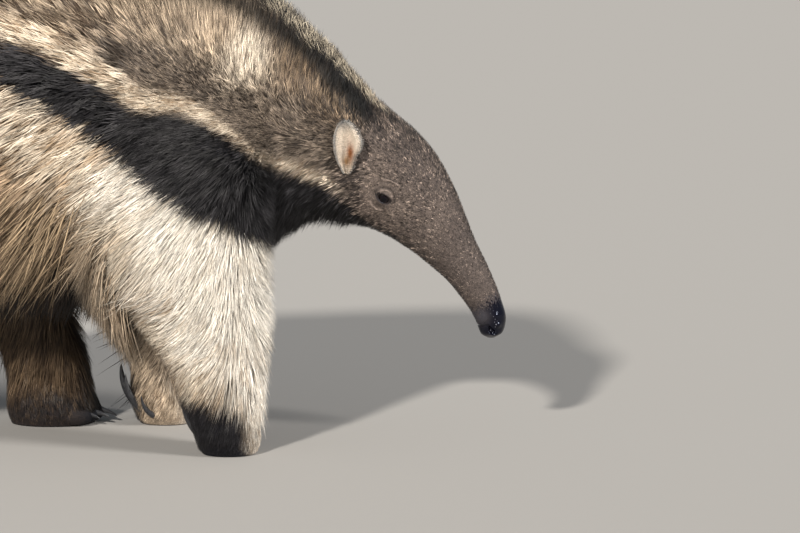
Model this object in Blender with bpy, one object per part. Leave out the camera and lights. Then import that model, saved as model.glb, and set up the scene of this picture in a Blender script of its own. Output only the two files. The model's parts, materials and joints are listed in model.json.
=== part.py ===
"""A life-size giant anteater, walking with its head low: snout towards +X, right side towards -Y, soles at z = 0.

The trunk, from the nose to the root of the tail, is one lofted form that is parted with thin cuts into nose, head,
neck and torso. Legs, paws, claws, ears, eyes and tail are seated on it with the same thin gap. The long coat is a set
of flat, tapered locks that grow out of a core half way into the coat and end at its outline. All sizes are metres.
"""

import math
import random

import bmesh
import bpy
import numpy as np
from mathutils import Matrix, Vector
from mathutils.bvhtree import BVHTree
from mathutils.kdtree import KDTree

# Driving dimensions
GAP = 0.0003
SIDES = {"right": -1, "left": 1}
CORE_SHARE = 0.5  # how much of the coat's depth is taken off a form that carries locks
LOCK_SINK = 0.007  # how deep a lock's root goes into the core
LOCK_SHARE_OF_FORM = 0.28  # the widest that a lock may be, as a share of the height of the form that it grows on
LOCK_TRIES = (1.0, 0.8, 0.62)  # shares of its length that a lock is tried at
LOCK_CLEAR = 0.0009  # how much wider a lock is made while it is tested against the other nodes
FLOOR_CLEAR = 0.006
LEAST_APART = 5e-7  # points nearer than this would fall together
LEAST_EDGE = 3e-6
FUSE_TRIES = 8
SEED = 7
LOCK_TURN, LOCK_SHIFT = 9, 4  # degrees that a lock may turn off its lie, and move round its form
LOCK_VARIES, WIDTH_VARIES = 0.15, 0.10  # shares by which a lock's length and width differ
SLOPE_U, SLOPE_ANGLE = 0.02, 2.0  # steps along and round a form that its slope is measured over
ROUNDNESS = 2.2  # exponent of the superellipse that the sections follow

# Each station of the trunk is a section of the coat's outline: the x and z of its top, the x and z of its bottom, its
# half width, and the coat's depth on top, at the side and below.
TRUNK = [
    (0.3700, 0.1280, 0.3580, 0.1280, 0.006, 0.000, 0.000, 0.000),
    (0.3790, 0.1350, 0.3510, 0.1330, 0.013, 0.000, 0.000, 0.000),
    (0.3838, 0.1525, 0.3438, 0.1488, 0.019, 0.001, 0.001, 0.001),
    (0.3800, 0.1713, 0.3350, 0.1638, 0.021, 0.002, 0.002, 0.002),
    (0.3713, 0.1938, 0.3238, 0.1800, 0.023, 0.002, 0.002, 0.002),
    (0.3588, 0.2225, 0.3075, 0.2000, 0.026, 0.002, 0.002, 0.002),
    (0.3450, 0.2525, 0.2838, 0.2200, 0.030, 0.003, 0.003, 0.003),
    (0.3325, 0.2850, 0.2600, 0.2388, 0.035, 0.003, 0.003, 0.003),
    (0.3188, 0.3200, 0.2363, 0.2538, 0.041, 0.004, 0.003, 0.004),
    (0.2975, 0.3600, 0.2100, 0.2663, 0.048, 0.005, 0.004, 0.005),
    (0.2725, 0.3900, 0.1875, 0.2725, 0.054, 0.006, 0.005, 0.006),
    (0.2475, 0.4125, 0.1625, 0.2763, 0.060, 0.009, 0.006, 0.009),
    (0.2188, 0.4425, 0.1350, 0.2750, 0.070, 0.020, 0.010, 0.012),
    (0.1813, 0.4850, 0.1100, 0.2650, 0.086, 0.032, 0.012, 0.014),
    (0.1438, 0.5225, 0.0900, 0.2500, 0.102, 0.042, 0.015, 0.017),
    (0.1060, 0.5575, 0.0720, 0.2370, 0.117, 0.050, 0.018, 0.022),
    (0.0620, 0.5900, 0.0420, 0.2240, 0.128, 0.054, 0.021, 0.032),
    (0.0060, 0.6120, 0.0060, 0.2120, 0.137, 0.057, 0.025, 0.046),
    (-0.0620, 0.6220, -0.0620, 0.2020, 0.143, 0.059, 0.028, 0.056),
    (-0.1500, 0.6200, -0.1500, 0.1950, 0.148, 0.060, 0.031, 0.062),
    (-0.2500, 0.6070, -0.2500, 0.1970, 0.149, 0.060, 0.032, 0.062),
    (-0.3500, 0.5850, -0.3470, 0.2100, 0.146, 0.058, 0.032, 0.056),
    (-0.4250, 0.5560, -0.4180, 0.2350, 0.136, 0.053, 0.032, 0.050),
    (-0.4870, 0.5120, -0.4700, 0.2750, 0.114, 0.046, 0.030, 0.040),
    (-0.5310, 0.4600, -0.5080, 0.3150, 0.086, 0.037, 0.026, 0.031),
    (-0.5550, 0.4180, -0.5300, 0.3400, 0.062, 0.030, 0.022, 0.026),
]
NOSE_CUT, NECK_CUT, CHEST_CUT, TRUNK_END = 3.0, 13.0, 15.2, 25.0
CROWN = 11.4  # where the crest begins on the head

# The tail's sections, written like the trunk's: the bone lies near the top, and the long hair hangs below it.
TAIL = [
    (-0.5560, 0.4170, -0.5320, 0.3380, 0.060, 0.030, 0.022, 0.026),
    (-0.6100, 0.4180, -0.6000, 0.2600, 0.060, 0.032, 0.024, 0.090),
    (-0.6900, 0.4220, -0.6900, 0.1500, 0.058, 0.036, 0.026, 0.150),
    (-0.7900, 0.4200, -0.7950, 0.0850, 0.055, 0.040, 0.026, 0.190),
    (-0.9000, 0.4080, -0.9100, 0.0520, 0.052, 0.042, 0.026, 0.200),
    (-1.0100, 0.3880, -1.0250, 0.0450, 0.048, 0.044, 0.026, 0.190),
    (-1.1200, 0.3560, -1.1350, 0.0600, 0.043, 0.046, 0.026, 0.170),
    (-1.2200, 0.3120, -1.2300, 0.0950, 0.036, 0.046, 0.024, 0.130),
    (-1.3000, 0.2550, -1.3000, 0.1400, 0.024, 0.040, 0.016, 0.070),
    (-1.3450, 0.2100, -1.3400, 0.1750, 0.008, 0.012, 0.005, 0.012),
]

# A leg's stations run down it: height, x and side distance of its middle, half length along x, half width, coat depth.
FORELEG_RIGHT = [
    (0.440, 0.020, 0.080, 0.070, 0.044, 0.010),
    (0.370, 0.008, 0.090, 0.098, 0.058, 0.018),
    (0.290, -0.010, 0.098, 0.108, 0.064, 0.022),
    (0.216, -0.008, 0.102, 0.103, 0.060, 0.024),
    (0.165, 0.010, 0.103, 0.085, 0.055, 0.022),
    (0.110, 0.025, 0.103, 0.064, 0.050, 0.015),
    (0.060, 0.031, 0.103, 0.052, 0.045, 0.009),
]
FORELEG_LEFT = [
    (0.440, 0.012, 0.080, 0.070, 0.044, 0.010),
    (0.370, 0.002, 0.090, 0.088, 0.058, 0.014),
    (0.290, -0.022, 0.098, 0.084, 0.064, 0.018),
    (0.210, -0.044, 0.102, 0.074, 0.058, 0.018),
    (0.140, -0.056, 0.103, 0.056, 0.052, 0.016),
    (0.090, -0.060, 0.103, 0.040, 0.046, 0.010),
    (0.060, -0.057, 0.103, 0.036, 0.043, 0.006),
]
HINDLEG_RIGHT = [
    (0.450, -0.420, 0.070, 0.080, 0.044, 0.012),
    (0.380, -0.428, 0.086, 0.112, 0.060, 0.018),
    (0.300, -0.442, 0.094, 0.104, 0.064, 0.022),
    (0.220, -0.474, 0.098, 0.082, 0.056, 0.020),
    (0.140, -0.515, 0.100, 0.064, 0.048, 0.016),
    (0.090, -0.538, 0.100, 0.056, 0.044, 0.012),
    (0.060, -0.546, 0.100, 0.054, 0.042, 0.008),
]
HINDLEG_LEFT = [
    (0.450, -0.400, 0.070, 0.080, 0.044, 0.012),
    (0.380, -0.378, 0.086, 0.112, 0.060, 0.018),
    (0.300, -0.330, 0.094, 0.104, 0.064, 0.022),
    (0.220, -0.270, 0.098, 0.084, 0.056, 0.020),
    (0.140, -0.223, 0.100, 0.066, 0.048, 0.016),
    (0.090, -0.203, 0.100, 0.058, 0.044, 0.012),
    (0.060, -0.197, 0.100, 0.056, 0.042, 0.008),
]
# What a paw adds below its leg: height, x from the leg's foot, half length along x, half width.
FOREPAW = [(0.036, 0.004, 0.043, 0.043), (0.013, 0.007, 0.040, 0.038), (0.000, 0.008, 0.034, 0.030)]
HINDPAW = [(0.040, 0.002, 0.058, 0.043), (0.018, 0.004, 0.060, 0.044), (0.000, 0.004, 0.054, 0.037)]
LEG_RINGS, LEG_SIDES, PAW_RINGS = 9, 18, 6

EYE_X, EYE_Z = 0.230, 0.309
EYE_RADIUS, EYE_DEPTH = 0.0085, 0.0045
LID_RADII, LID_DEPTH = (0.0130, 0.0105, 0.0036), 0.001
EAR_X, EAR_Z = 0.184, 0.372
EAR_RADII = (0.0185, 0.013, 0.031)
EAR_SPLAY, EAR_TURN = 22, 18  # degrees that the ear leans out at its tip and turns to the front
EAR_OUT, CUP_OUT, CUP_SHARE = 0.004, 0.0115, 0.84  # how far the ear and its hollow stand off, and the hollow's size
SNOUT_LIE = (-0.35, 0.0, 1.0)  # from the end of the snout back along it
LIP_PLACE, LIP_RADII = (0.3545, 0.0, 0.1390), (0.0075, 0.0120, 0.0090)
NOSTRIL_X, NOSTRIL_Z, NOSTRIL_SPREAD, NOSTRIL_RADII = 0.3700, 0.1360, 0.0085, (0.0034, 0.0026, 0.0080)
MOUTH_PLACE, MOUTH_RADII = (0.3480, 0.0, 0.1420), (0.0140, 0.0300, 0.0009)

# A forepaw's claws: name, root's x from the ankle, its distance from the paw's middle towards the body's middle,
# length, root half width, and how far the claw leans to the body's middle.
FORECLAWS = [
    ("1", -0.006, 0.034, 0.036, 0.0042, 0.90),
    ("2", -0.012, 0.020, 0.064, 0.0066, 0.30),
    ("3", -0.014, 0.000, 0.074, 0.0086, 0.10),
    ("4", -0.012, -0.019, 0.046, 0.0048, -0.05),
]
FORECLAW_HEIGHT, FORECLAW_RISE, FORECLAW_CURL = 0.015, 0.55, 66
CLAW_SIDES, CLAW_STEPS = 6, 5
CLAW_TAPER, CLAW_FLATNESS, CLAW_POINT = 0.6, 0.75, 0.12
# A hind paw's claws: name, distance from the paw's middle towards the body's middle, length, root half width.
HINDCLAWS = [
    ("1", 0.0310, 0.024, 0.0036),
    ("2", 0.0165, 0.029, 0.0042),
    ("3", 0.0010, 0.031, 0.0044),
    ("4", -0.0145, 0.029, 0.0042),
    ("5", -0.0290, 0.024, 0.0036),
]
HINDCLAW_AHEAD, HINDCLAW_HEIGHT, HINDCLAW_RISE, HINDCLAW_CURL = 0.008, 0.0165, 0.05, 38
TOE_HEIGHT, TOE_RADII = 0.0130, (0.020, 0.0088, 0.0115)
TOE_BACK, TOE_SLANT = 0.015, 0.45  # how far a hind toe's middle lies behind the front of the sole

# The coat's lie on each stretch: the way a lock points, its length, width and thickness, and the steps that it bends in
FLANK_LIE = ((-0.75, 0.0, -0.66), 0.140, 0.070, 0.0065, 3)
BELLY_LIE = ((-0.80, 0.0, -0.60), 0.115, 0.066, 0.0065, 3)
CREST_LIE = ((-0.90, 0.0, 0.30), 0.078, 0.040, 0.0130, 3)
NAPE_LIE = ((-0.60, 0.0, 0.70), 0.038, 0.034, 0.0110, 3)
NECK_LIE = ((-0.80, 0.0, 0.20), 0.075, 0.042, 0.0050, 3)
THROAT_LIE = ((-0.55, 0.0, -0.80), 0.060, 0.040, 0.0050, 3)
FORELEG_LIE = ((-0.22, 0.0, -0.97), 0.078, 0.044, 0.0050, 3)
HINDLEG_LIE = ((-0.42, 0.0, -0.90), 0.078, 0.044, 0.0050, 3)
TAIL_SIDE_LIE = ((-0.72, 0.0, -0.70), 0.170, 0.064, 0.0065, 4)
TAIL_LOW_LIE = ((-0.80, 0.0, -0.60), 0.150, 0.062, 0.0065, 4)
TAIL_TOP_LIE = ((-1.00, 0.0, 0.00), 0.120, 0.058, 0.0065, 3)
LOCK_TAPER = (0.85, 1.0, 0.72, 0.42)  # a lock's width at each step from its root to its tip

# Where locks grow: angles round the form, from its left side over its top or its rear, and the spacing along it
FLANK_ANGLES, FLANK_SPACING = (52, 30, 8, -14, -36), 0.098
BELLY_ANGLES, BELLY_SPACING = (-57, -76), 0.105
CREST_ANGLES, CREST_SPACING = (90, 73), 0.055
NECK_ANGLES, THROAT_ANGLES, NECK_SPACING = (58, 34, 10), (-14, -40, -68), 0.050
LEG_ANGLES, LEG_INNER_ANGLES, LEG_PLACES = (-66, -22, 22, 66), (-140, 140), (1.5, 2.9, 4.2)
LEG_STAGGER = 11  # degrees that every other row of a leg's locks is moved round
TAIL_SIDE_ANGLES, TAIL_SPACING = (40, -2, -44), 0.130
TAIL_START, TAIL_CORE_END = 0.02, 7.8

# Colour, roughness and metallic value of each finish
FINISHES = {
    "grey_coat": ((0.125, 0.090, 0.075), 0.85, 0.0),
    "grizzled_coat": ((0.200, 0.150, 0.105), 0.85, 0.0),
    "cream_coat": ((0.700, 0.600, 0.470), 0.85, 0.0),
    "dark_coat": ((0.035, 0.022, 0.015), 0.85, 0.0),
    "wet_nose": ((0.020, 0.019, 0.024), 0.25, 0.0),
    "eye": ((0.010, 0.006, 0.005), 0.08, 0.0),
    "ear_skin": ((0.560, 0.430, 0.330), 0.75, 0.0),
    "claw_horn": ((0.012, 0.014, 0.018), 0.35, 0.0),
}


def clear_scene():
    for obj in list(bpy.data.objects):
        bpy.data.objects.remove(obj)


def finish(name):
    """The material of that name, made the first time that it is asked for."""
    material = bpy.data.materials.get(name)
    if material is None:
        colour, roughness, metallic = FINISHES[name]
        material = bpy.data.materials.new(name)
        material.use_nodes = True
        shader = material.node_tree.nodes["Principled BSDF"]
        shader.inputs["Base Color"].default_value = (*colour, 1)
        shader.inputs["Roughness"].default_value = roughness
        shader.inputs["Metallic"].default_value = metallic
    return material


def new_object(name, points, faces, finish_name):
    mesh = bpy.data.meshes.new(name)
    mesh.from_pydata([tuple(p) for p in points], [], faces)
    mesh.shade_smooth()
    mesh.set_sharp_from_angle(angle=math.radians(50))
    obj = bpy.data.objects.new(name, mesh)
    bpy.context.scene.collection.objects.link(obj)
    if finish_name:
        mesh.materials.append(finish(finish_name))
    return obj


def station_at(stations, u):
    """The station at place u along the list, on a smooth curve through all of them."""
    table = np.array(stations, float)
    u = min(max(u, 0.0), len(table) - 1.0)
    i = min(int(u), len(table) - 2)
    t = u - i
    before, first = table[max(i - 1, 0)], table[i]
    last, after = table[i + 1], table[min(i + 2, len(table) - 1)]
    return 0.5 * (
        2 * first
        + (last - before) * t
        + (2 * before - 5 * first + 4 * last - after) * t**2
        + (3 * first - before - 3 * last + after) * t**3
    )


def oval(centre, up, across, count):
    """A ring of points round centre, a superellipse whose half axes are the vectors up and across."""
    ring = []
    for k in range(count):
        angle = 2 * math.pi * k / count
        c, s = math.cos(angle), math.sin(angle)
        wide = math.copysign(abs(c) ** (2 / ROUNDNESS), c)
        high = math.copysign(abs(s) ** (2 / ROUNDNESS), s)
        ring.append(centre + across * wide + up * high)
    return ring


def trunk_ring(station, count, share):
    """A section of the trunk or tail, with share of the coat's depth taken off."""
    top_x, top_z, low_x, low_z, half, over, beside, under = station
    top, low = Vector((top_x, 0, top_z)), Vector((low_x, 0, low_z))
    along = (top - low).normalized()
    top -= along * over * share
    low += along * under * share
    across = Vector((0, half - beside * share, 0))
    return oval((top + low) / 2, (top - low) / 2, across, count)


def leg_ring(station, side, count, share):
    height, x, away, long, wide, coat = station
    up = Vector((-(long - coat * share), 0, 0))
    across = Vector((0, wide - coat * share, 0))
    return oval(Vector((x, side * away, height)), up, across, count)


def loft(name, rings, finish_name):
    """A closed body through the rings, with a point in the middle of each flat end."""
    count = len(rings[0])
    points = [p for ring in rings for p in ring]
    faces = []
    for r in range(len(rings) - 1):
        for k in range(count):
            a, b = r * count + k, r * count + (k + 1) % count
            faces.append((a, b, b + count, a + count))
    for ring, first in ((rings[0], 0), (rings[-1], (len(rings) - 1) * count)):
        middle = len(points)
        points.append(sum(ring, Vector()) / count)
        for k in range(count):
            faces.append((first + k, first + (k + 1) % count, middle))
    obj = new_object(name, points, faces, finish_name)
    point_faces_out(obj)
    return obj


def point_faces_out(obj):
    shape = bmesh.new()
    shape.from_mesh(obj.data)
    bmesh.ops.recalc_face_normals(shape, faces=shape.faces)
    if shape.calc_volume(signed=True) < 0:
        bmesh.ops.reverse_faces(shape, faces=shape.faces)
    bmesh.ops.triangulate(shape, faces=shape.faces)
    shape.to_mesh(obj.data)
    shape.free()


def on_trunk(stations, u, angle, share):
    """A point of the trunk or tail: u along it, angle from its left side over its top, share of the coat taken off."""
    top_x, top_z, low_x, low_z, half, over, beside, under = station_at(stations, u)
    top, low = Vector((top_x, 0, top_z)), Vector((low_x, 0, low_z))
    along = (top - low).normalized()
    top -= along * over * share
    low += along * under * share
    return on_oval((top + low) / 2, (top - low) / 2, Vector((0, half - beside * share, 0)), angle)


def on_leg(stations, side, u, angle, share):
    """A point of a leg: u down it, angle from its left side over its rear, share of the coat taken off."""
    height, x, away, long, wide, coat = station_at(stations, u)
    rear, across = Vector((-(long - coat * share), 0, 0)), Vector((0, wide - coat * share, 0))
    return on_oval(Vector((x, side * away, height)), rear, across, angle)


def on_oval(centre, up, across, angle):
    c, s = math.cos(math.radians(angle)), math.sin(math.radians(angle))
    wide = math.copysign(abs(c) ** (2 / ROUNDNESS), c)
    high = math.copysign(abs(s) ** (2 / ROUNDNESS), s)
    return centre + across * wide + up * high


def slopes(surface, u, angle, share):
    """How a form's point moves with its place along the form, and with its angle round it."""
    by_u = surface(u + SLOPE_U, angle, share) - surface(u - SLOPE_U, angle, share)
    by_angle = surface(u, angle + SLOPE_ANGLE, share) - surface(u, angle - SLOPE_ANGLE, share)
    return by_u / (2 * SLOPE_U), by_angle / (2 * SLOPE_ANGLE)


def walk(surface, u, angle, direction, length, steps, last):
    """The places that a hair of that length passes over, when it lies on a form and points in that direction."""
    places = [(u, angle)]
    for _ in range(steps):
        by_u, by_angle = slopes(surface, u, angle, CORE_SHARE)
        normal = by_u.cross(by_angle).normalized()
        lie = direction - normal * direction.dot(normal)
        if lie.length < 0.05:
            break
        lie = lie.normalized() * length / steps
        pull = np.array([[by_u.dot(by_u), by_u.dot(by_angle)], [by_u.dot(by_angle), by_angle.dot(by_angle)]])
        move = np.linalg.solve(pull + np.eye(2) * 1e-12, [by_u.dot(lie), by_angle.dot(lie)])
        u += move[0]
        angle += move[1]
        if not 0.05 < u < last:
            break
        places.append((u, angle))
    return places


def make_lock(surface, places, width, thickness, upright):
    """A flat, tapered lock from a sunk root over the places given, and out to the coat's outline at its tip.

    It lies flat on the form, or stands on edge along the body where it is upright, as in a crest.
    """
    steps = len(places) - 1
    points, normals = [], []
    for k, (u, angle) in enumerate(places):
        t = k / steps
        share = CORE_SHARE * (1 - t)
        by_u, by_angle = slopes(surface, u, angle, share)
        normal = by_u.cross(by_angle).normalized()
        if normal.dot(surface(u, angle, share - 0.5) - surface(u, angle, share + 0.5)) < 0:
            normal = -normal
        points.append(surface(u, angle, share))
        normals.append(normal)
    points[0] = points[0] - normals[0] * LOCK_SINK
    rings = []
    for k in range(steps):
        along = (points[k + 1] - points[max(k - 1, 0)]).normalized()
        across = along.cross(Vector((0, 1, 0)) if upright else normals[k]).normalized()
        out = across.cross(along).normalized()
        half = width / 2 * LOCK_TAPER[k]
        thick = thickness * LOCK_TAPER[k]
        rings.append([points[k] + across * half, points[k] - across * half, points[k] + out * thick])
    verts = [q for ring in rings for q in ring] + [points[-1]]
    faces = [(0, 1, 2)]
    for k in range(steps - 1):
        for j in range(3):
            a, b = 3 * k + j, 3 * k + (j + 1) % 3
            faces.append((a, b, b + 3, a + 3))
    tip, base = len(verts) - 1, 3 * (steps - 1)
    faces += [(base + j, base + (j + 1) % 3, tip) for j in range(3)]
    lock = new_object("lock", verts, faces, None)
    point_faces_out(lock)
    return lock


def spread(stations, start, end, spacing, shift):
    """Places at equal distances along the middle of a form, moved on by a share of one spacing."""
    fine = np.linspace(start, end, 240)
    table = np.array([station_at(stations, u) for u in fine])
    middle = (table[:, 0:2] + table[:, 2:4]) / 2
    run = np.concatenate([[0], np.cumsum(np.hypot(*np.diff(middle, axis=0).T))])
    count = max(1, round(run[-1] / spacing))
    return np.interp((np.arange(count) + 0.25 + shift) * run[-1] / count, run, fine)


def both_sides(stations, start, end, angles, spacing):
    """Roots in staggered rows on the right and the left side."""
    roots = []
    for row, angle in enumerate(angles):
        for u in spread(stations, start, end, spacing, 0.5 * (row % 2)):
            roots += [(u, angle)] if angle == 90 else [(u, angle), (u, 180 - angle)]
    return roots


def grow_locks(node, surface, roots, lie, others, last, upright=False):
    """A lock at each root. One that would cross another node or the floor is made shorter, or left out."""
    direction, length, width, thickness, steps = lie
    dice = random.Random(f"{SEED} {node.name} {direction} {roots[0]}")
    trees = [tree_of(other) for other in others]
    locks = []
    for u, angle in roots:
        turn = Matrix.Rotation(math.radians(dice.uniform(-LOCK_TURN, LOCK_TURN)), 3, "Y")
        pointed = turn @ Vector(direction)
        size = length * dice.uniform(1 - LOCK_VARIES, 1 + LOCK_VARIES)
        room = (surface(u, 90, 0) - surface(u, -90, 0)).length
        wide = min(width * dice.uniform(1 - WIDTH_VARIES, 1 + WIDTH_VARIES), room * LOCK_SHARE_OF_FORM)
        start = angle + dice.uniform(-LOCK_SHIFT, LOCK_SHIFT)
        for share in LOCK_TRIES:
            places = walk(surface, u, start, pointed, size * share + LOCK_CLEAR * 4, steps, last)
            if len(places) <= steps:
                break
            test = make_lock(surface, places, wide + 2 * LOCK_CLEAR, thickness + 2 * LOCK_CLEAR, upright)
            low = min(v.co.z for v in test.data.vertices)
            crossed = low < FLOOR_CLEAR or any(tree_of(test).overlap(tree) for tree in trees)
            bpy.data.objects.remove(test)
            if not crossed:
                places = walk(surface, u, start, pointed, size * share, steps, last)
                locks.append(make_lock(surface, places, wide, thickness, upright))
                break
    print(node.name, "has", len(locks), "locks on", len(roots), "roots")
    return locks


def trunk_part(name, stations, start, end, rings, count, finish_name):
    """The stretch of the trunk or tail between two places along it, short of each by half the gap."""
    first, last = station_at(stations, start), station_at(stations, end)
    ahead, behind = station_at(stations, start + SLOPE_U), station_at(stations, end - SLOPE_U)
    inset_start = SLOPE_U * GAP / 2 / least_move(first, ahead)
    inset_end = SLOPE_U * GAP / 2 / least_move(last, behind)
    places = np.linspace(start + inset_start, end - inset_end, rings)
    return loft(name, [trunk_ring(station_at(stations, u), count, CORE_SHARE) for u in places], finish_name)


def least_move(one, other):
    """How far the nearer of a section's two ends moves between two stations."""
    top = math.hypot(other[0] - one[0], other[1] - one[1])
    low = math.hypot(other[2] - one[2], other[3] - one[3])
    return min(top, low)


def ellipsoid(name, centre, radii, turn=None, rings=8, count=12, finish_name=None):
    shape = bmesh.new()
    bmesh.ops.create_uvsphere(shape, u_segments=count, v_segments=rings, radius=1)
    place = Matrix.Translation(centre) @ (turn or Matrix.Identity(4)) @ Matrix.Diagonal((*radii, 1))
    bmesh.ops.transform(shape, matrix=place, verts=shape.verts)
    mesh = bpy.data.meshes.new(name)
    shape.to_mesh(mesh)
    shape.free()
    mesh.shade_smooth()
    obj = bpy.data.objects.new(name, mesh)
    bpy.context.scene.collection.objects.link(obj)
    if finish_name:
        mesh.materials.append(finish(finish_name))
    return obj


def combine(obj, others, operation, solver="EXACT"):
    """Joins others to obj, or cuts them from it, by one Boolean on a collection, and removes them."""
    group = bpy.data.collections.new(obj.name + "_" + operation.lower())
    bpy.context.scene.collection.children.link(group)
    for other in others:
        for home in list(other.users_collection):
            home.objects.unlink(other)
        group.objects.link(other)
    modifier = obj.modifiers.new("combine", "BOOLEAN")
    modifier.operand_type = "COLLECTION"
    modifier.collection = group
    modifier.operation = operation
    modifier.solver = solver
    bpy.context.view_layer.update()
    made = bpy.data.meshes.new_from_object(obj.evaluated_get(bpy.context.evaluated_depsgraph_get()))
    obj.modifiers.clear()
    obj.data = made
    for other in others:
        bpy.data.objects.remove(other)
    bpy.data.collections.remove(group)
    keep_largest(obj)


def keep_largest(obj):
    """Keeps only the closed surface that holds the most."""
    shape = bmesh.new()
    shape.from_mesh(obj.data)
    bmesh.ops.triangulate(shape, faces=shape.faces)
    left, best, most = set(shape.faces), [], -1.0
    while left:
        reached, edge = set(), [left.pop()]
        while edge:
            face = edge.pop()
            reached.add(face)
            near = {f for e in face.edges for f in e.link_faces if f in left}
            left -= near
            edge.extend(near)
        holds = sum(f.verts[0].co.dot(f.verts[1].co.cross(f.verts[2].co)) for f in reached)
        if holds > most:
            best, most = reached, holds
    spare = [f for f in shape.faces if f not in best]
    bmesh.ops.delete(shape, geom=spare, context="FACES")
    shape.to_mesh(obj.data)
    shape.free()


def faults(obj):
    """The places where a surface isn't closed, or where two points fall together."""
    shape = bmesh.new()
    shape.from_mesh(obj.data)
    bmesh.ops.dissolve_degenerate(shape, dist=LEAST_EDGE, edges=shape.edges)
    bmesh.ops.triangulate(shape, faces=shape.faces)
    shape.to_mesh(obj.data)
    found = [edge.verts[0].co.copy() for edge in shape.edges if len(edge.link_faces) != 2]
    tree = KDTree(len(shape.verts))
    for vertex in shape.verts:
        tree.insert(vertex.co, vertex.index)
    tree.balance()
    found += [v.co.copy() for v in shape.verts if len(tree.find_range(v.co, LEAST_APART)) > 1]
    shape.free()
    return found


def fuse(node, locks):
    """Joins the locks to their node as one closed surface. A lock at a place that won't close is left out."""
    plain = node.data
    for _ in range(FUSE_TRIES):
        for solver in ("EXACT", "MANIFOLD"):
            node.data = plain.copy()
            combine(node, [grown(lock, 0) for lock in locks], "UNION", solver)
            bad = faults(node)
            if not bad:
                break
        if not bad:
            break
        spoilt = min(locks, key=lambda lock: tree_of(lock).find_nearest(bad[0])[3])
        locks.remove(spoilt)
        bpy.data.objects.remove(spoilt)
    print(node.name, "has", len(locks), "locks fused by", solver, len(bad), "faults", len(node.data.polygons), "faces")
    for lock in locks:
        bpy.data.objects.remove(lock)


def grown(obj, by=GAP):
    """A copy of obj whose surface lies further out, to cut a neighbour clear of it."""
    copy = obj.copy()
    copy.data = obj.data.copy()
    bpy.context.scene.collection.objects.link(copy)
    normals = [v.normal.copy() for v in copy.data.vertices]
    for vertex, normal in zip(copy.data.vertices, normals):
        vertex.co += normal * by
    return copy


def seat(child, *parents):
    """Cuts child so that it meets each parent with the gap between them."""
    combine(child, [grown(parent) for parent in parents], "DIFFERENCE")


def tree_of(obj):
    return BVHTree.FromPolygons([v.co for v in obj.data.vertices], [p.vertices for p in obj.data.polygons])


def side_point(tree, x, z, side):
    """Where a line that comes in level from one side meets a form, and the surface's normal there."""
    place, normal, _, _ = tree.ray_cast(Vector((x, side, z)), Vector((0, -side, 0)))
    return place, normal


def make_trunk():
    return {
        "nose": trunk_part("nose", TRUNK, 0.0, NOSE_CUT, 7, 18, "wet_nose"),
        "head": trunk_part("head", TRUNK, NOSE_CUT, NECK_CUT, 20, 24, "grey_coat"),
        "neck": trunk_part("neck", TRUNK, NECK_CUT, CHEST_CUT, 6, 24, "grizzled_coat"),
        "torso": trunk_part("torso", TRUNK, CHEST_CUT, TRUNK_END, 15, 28, "grizzled_coat"),
        "tail": trunk_part("tail", TAIL, TAIL_START, TAIL_CORE_END, 13, 16, "dark_coat"),
    }


def shape_nose(nose):
    """Two comma-shaped nostrils in the end of the snout, and the short slit of the mouth with its lips."""
    turn = Vector(SNOUT_LIE).to_track_quat("Z", "Y").to_matrix().to_4x4()
    lip = ellipsoid("lip", Vector(LIP_PLACE), LIP_RADII, turn, 6, 12)
    combine(nose, [lip], "UNION")
    cutters = []
    for side in SIDES.values():
        place = Vector((NOSTRIL_X, side * NOSTRIL_SPREAD, NOSTRIL_Z))
        cutters.append(ellipsoid("nostril", place, NOSTRIL_RADII, turn, 6, 8))
    slit = ellipsoid("slit", Vector(MOUTH_PLACE), MOUTH_RADII, turn, 6, 12)
    combine(nose, [*cutters, slit], "DIFFERENCE")


def shape_eyes(head):
    """An eyeball sunk in each side of the head, inside a raised pair of lids."""
    tree = tree_of(head)
    eyes, lids = [], []
    for name, side in SIDES.items():
        place, normal = side_point(tree, EYE_X, EYE_Z, side)
        centre = place - normal * EYE_DEPTH
        turn = normal.to_track_quat("Z", "X").to_matrix().to_4x4()
        lids.append(ellipsoid("lid", place - normal * LID_DEPTH, LID_RADII, turn, 6, 12))
        eyes.append(
            ellipsoid("eye_" + name, centre, (EYE_RADIUS,) * 3, turn, rings=7, count=12, finish_name="eye")
        )
    combine(head, lids, "UNION")
    combine(head, [grown(eye) for eye in eyes], "DIFFERENCE")


def make_ears(head):
    """Two small round ears, each a cup that opens outwards and a little to the front."""
    tree = tree_of(head)
    for name, side in SIDES.items():
        place, _ = side_point(tree, EAR_X, EAR_Z, side)
        lean = Matrix.Rotation(math.radians(-side * EAR_SPLAY), 4, "X")
        turn = Matrix.Rotation(math.radians(-side * EAR_TURN), 4, "Z") @ lean
        out = turn @ Vector((0, side, 0))
        shape = {"rings": 9, "count": 12, "finish_name": "ear_skin"}
        ear = ellipsoid("ear_" + name, place + out * EAR_OUT, EAR_RADII, turn, **shape)
        hollow = [radius * CUP_SHARE for radius in EAR_RADII]
        cup = ellipsoid("cup", place + out * CUP_OUT, hollow, turn, rings=7, count=10)
        combine(ear, [cup], "DIFFERENCE")
        seat(ear, head)


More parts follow.
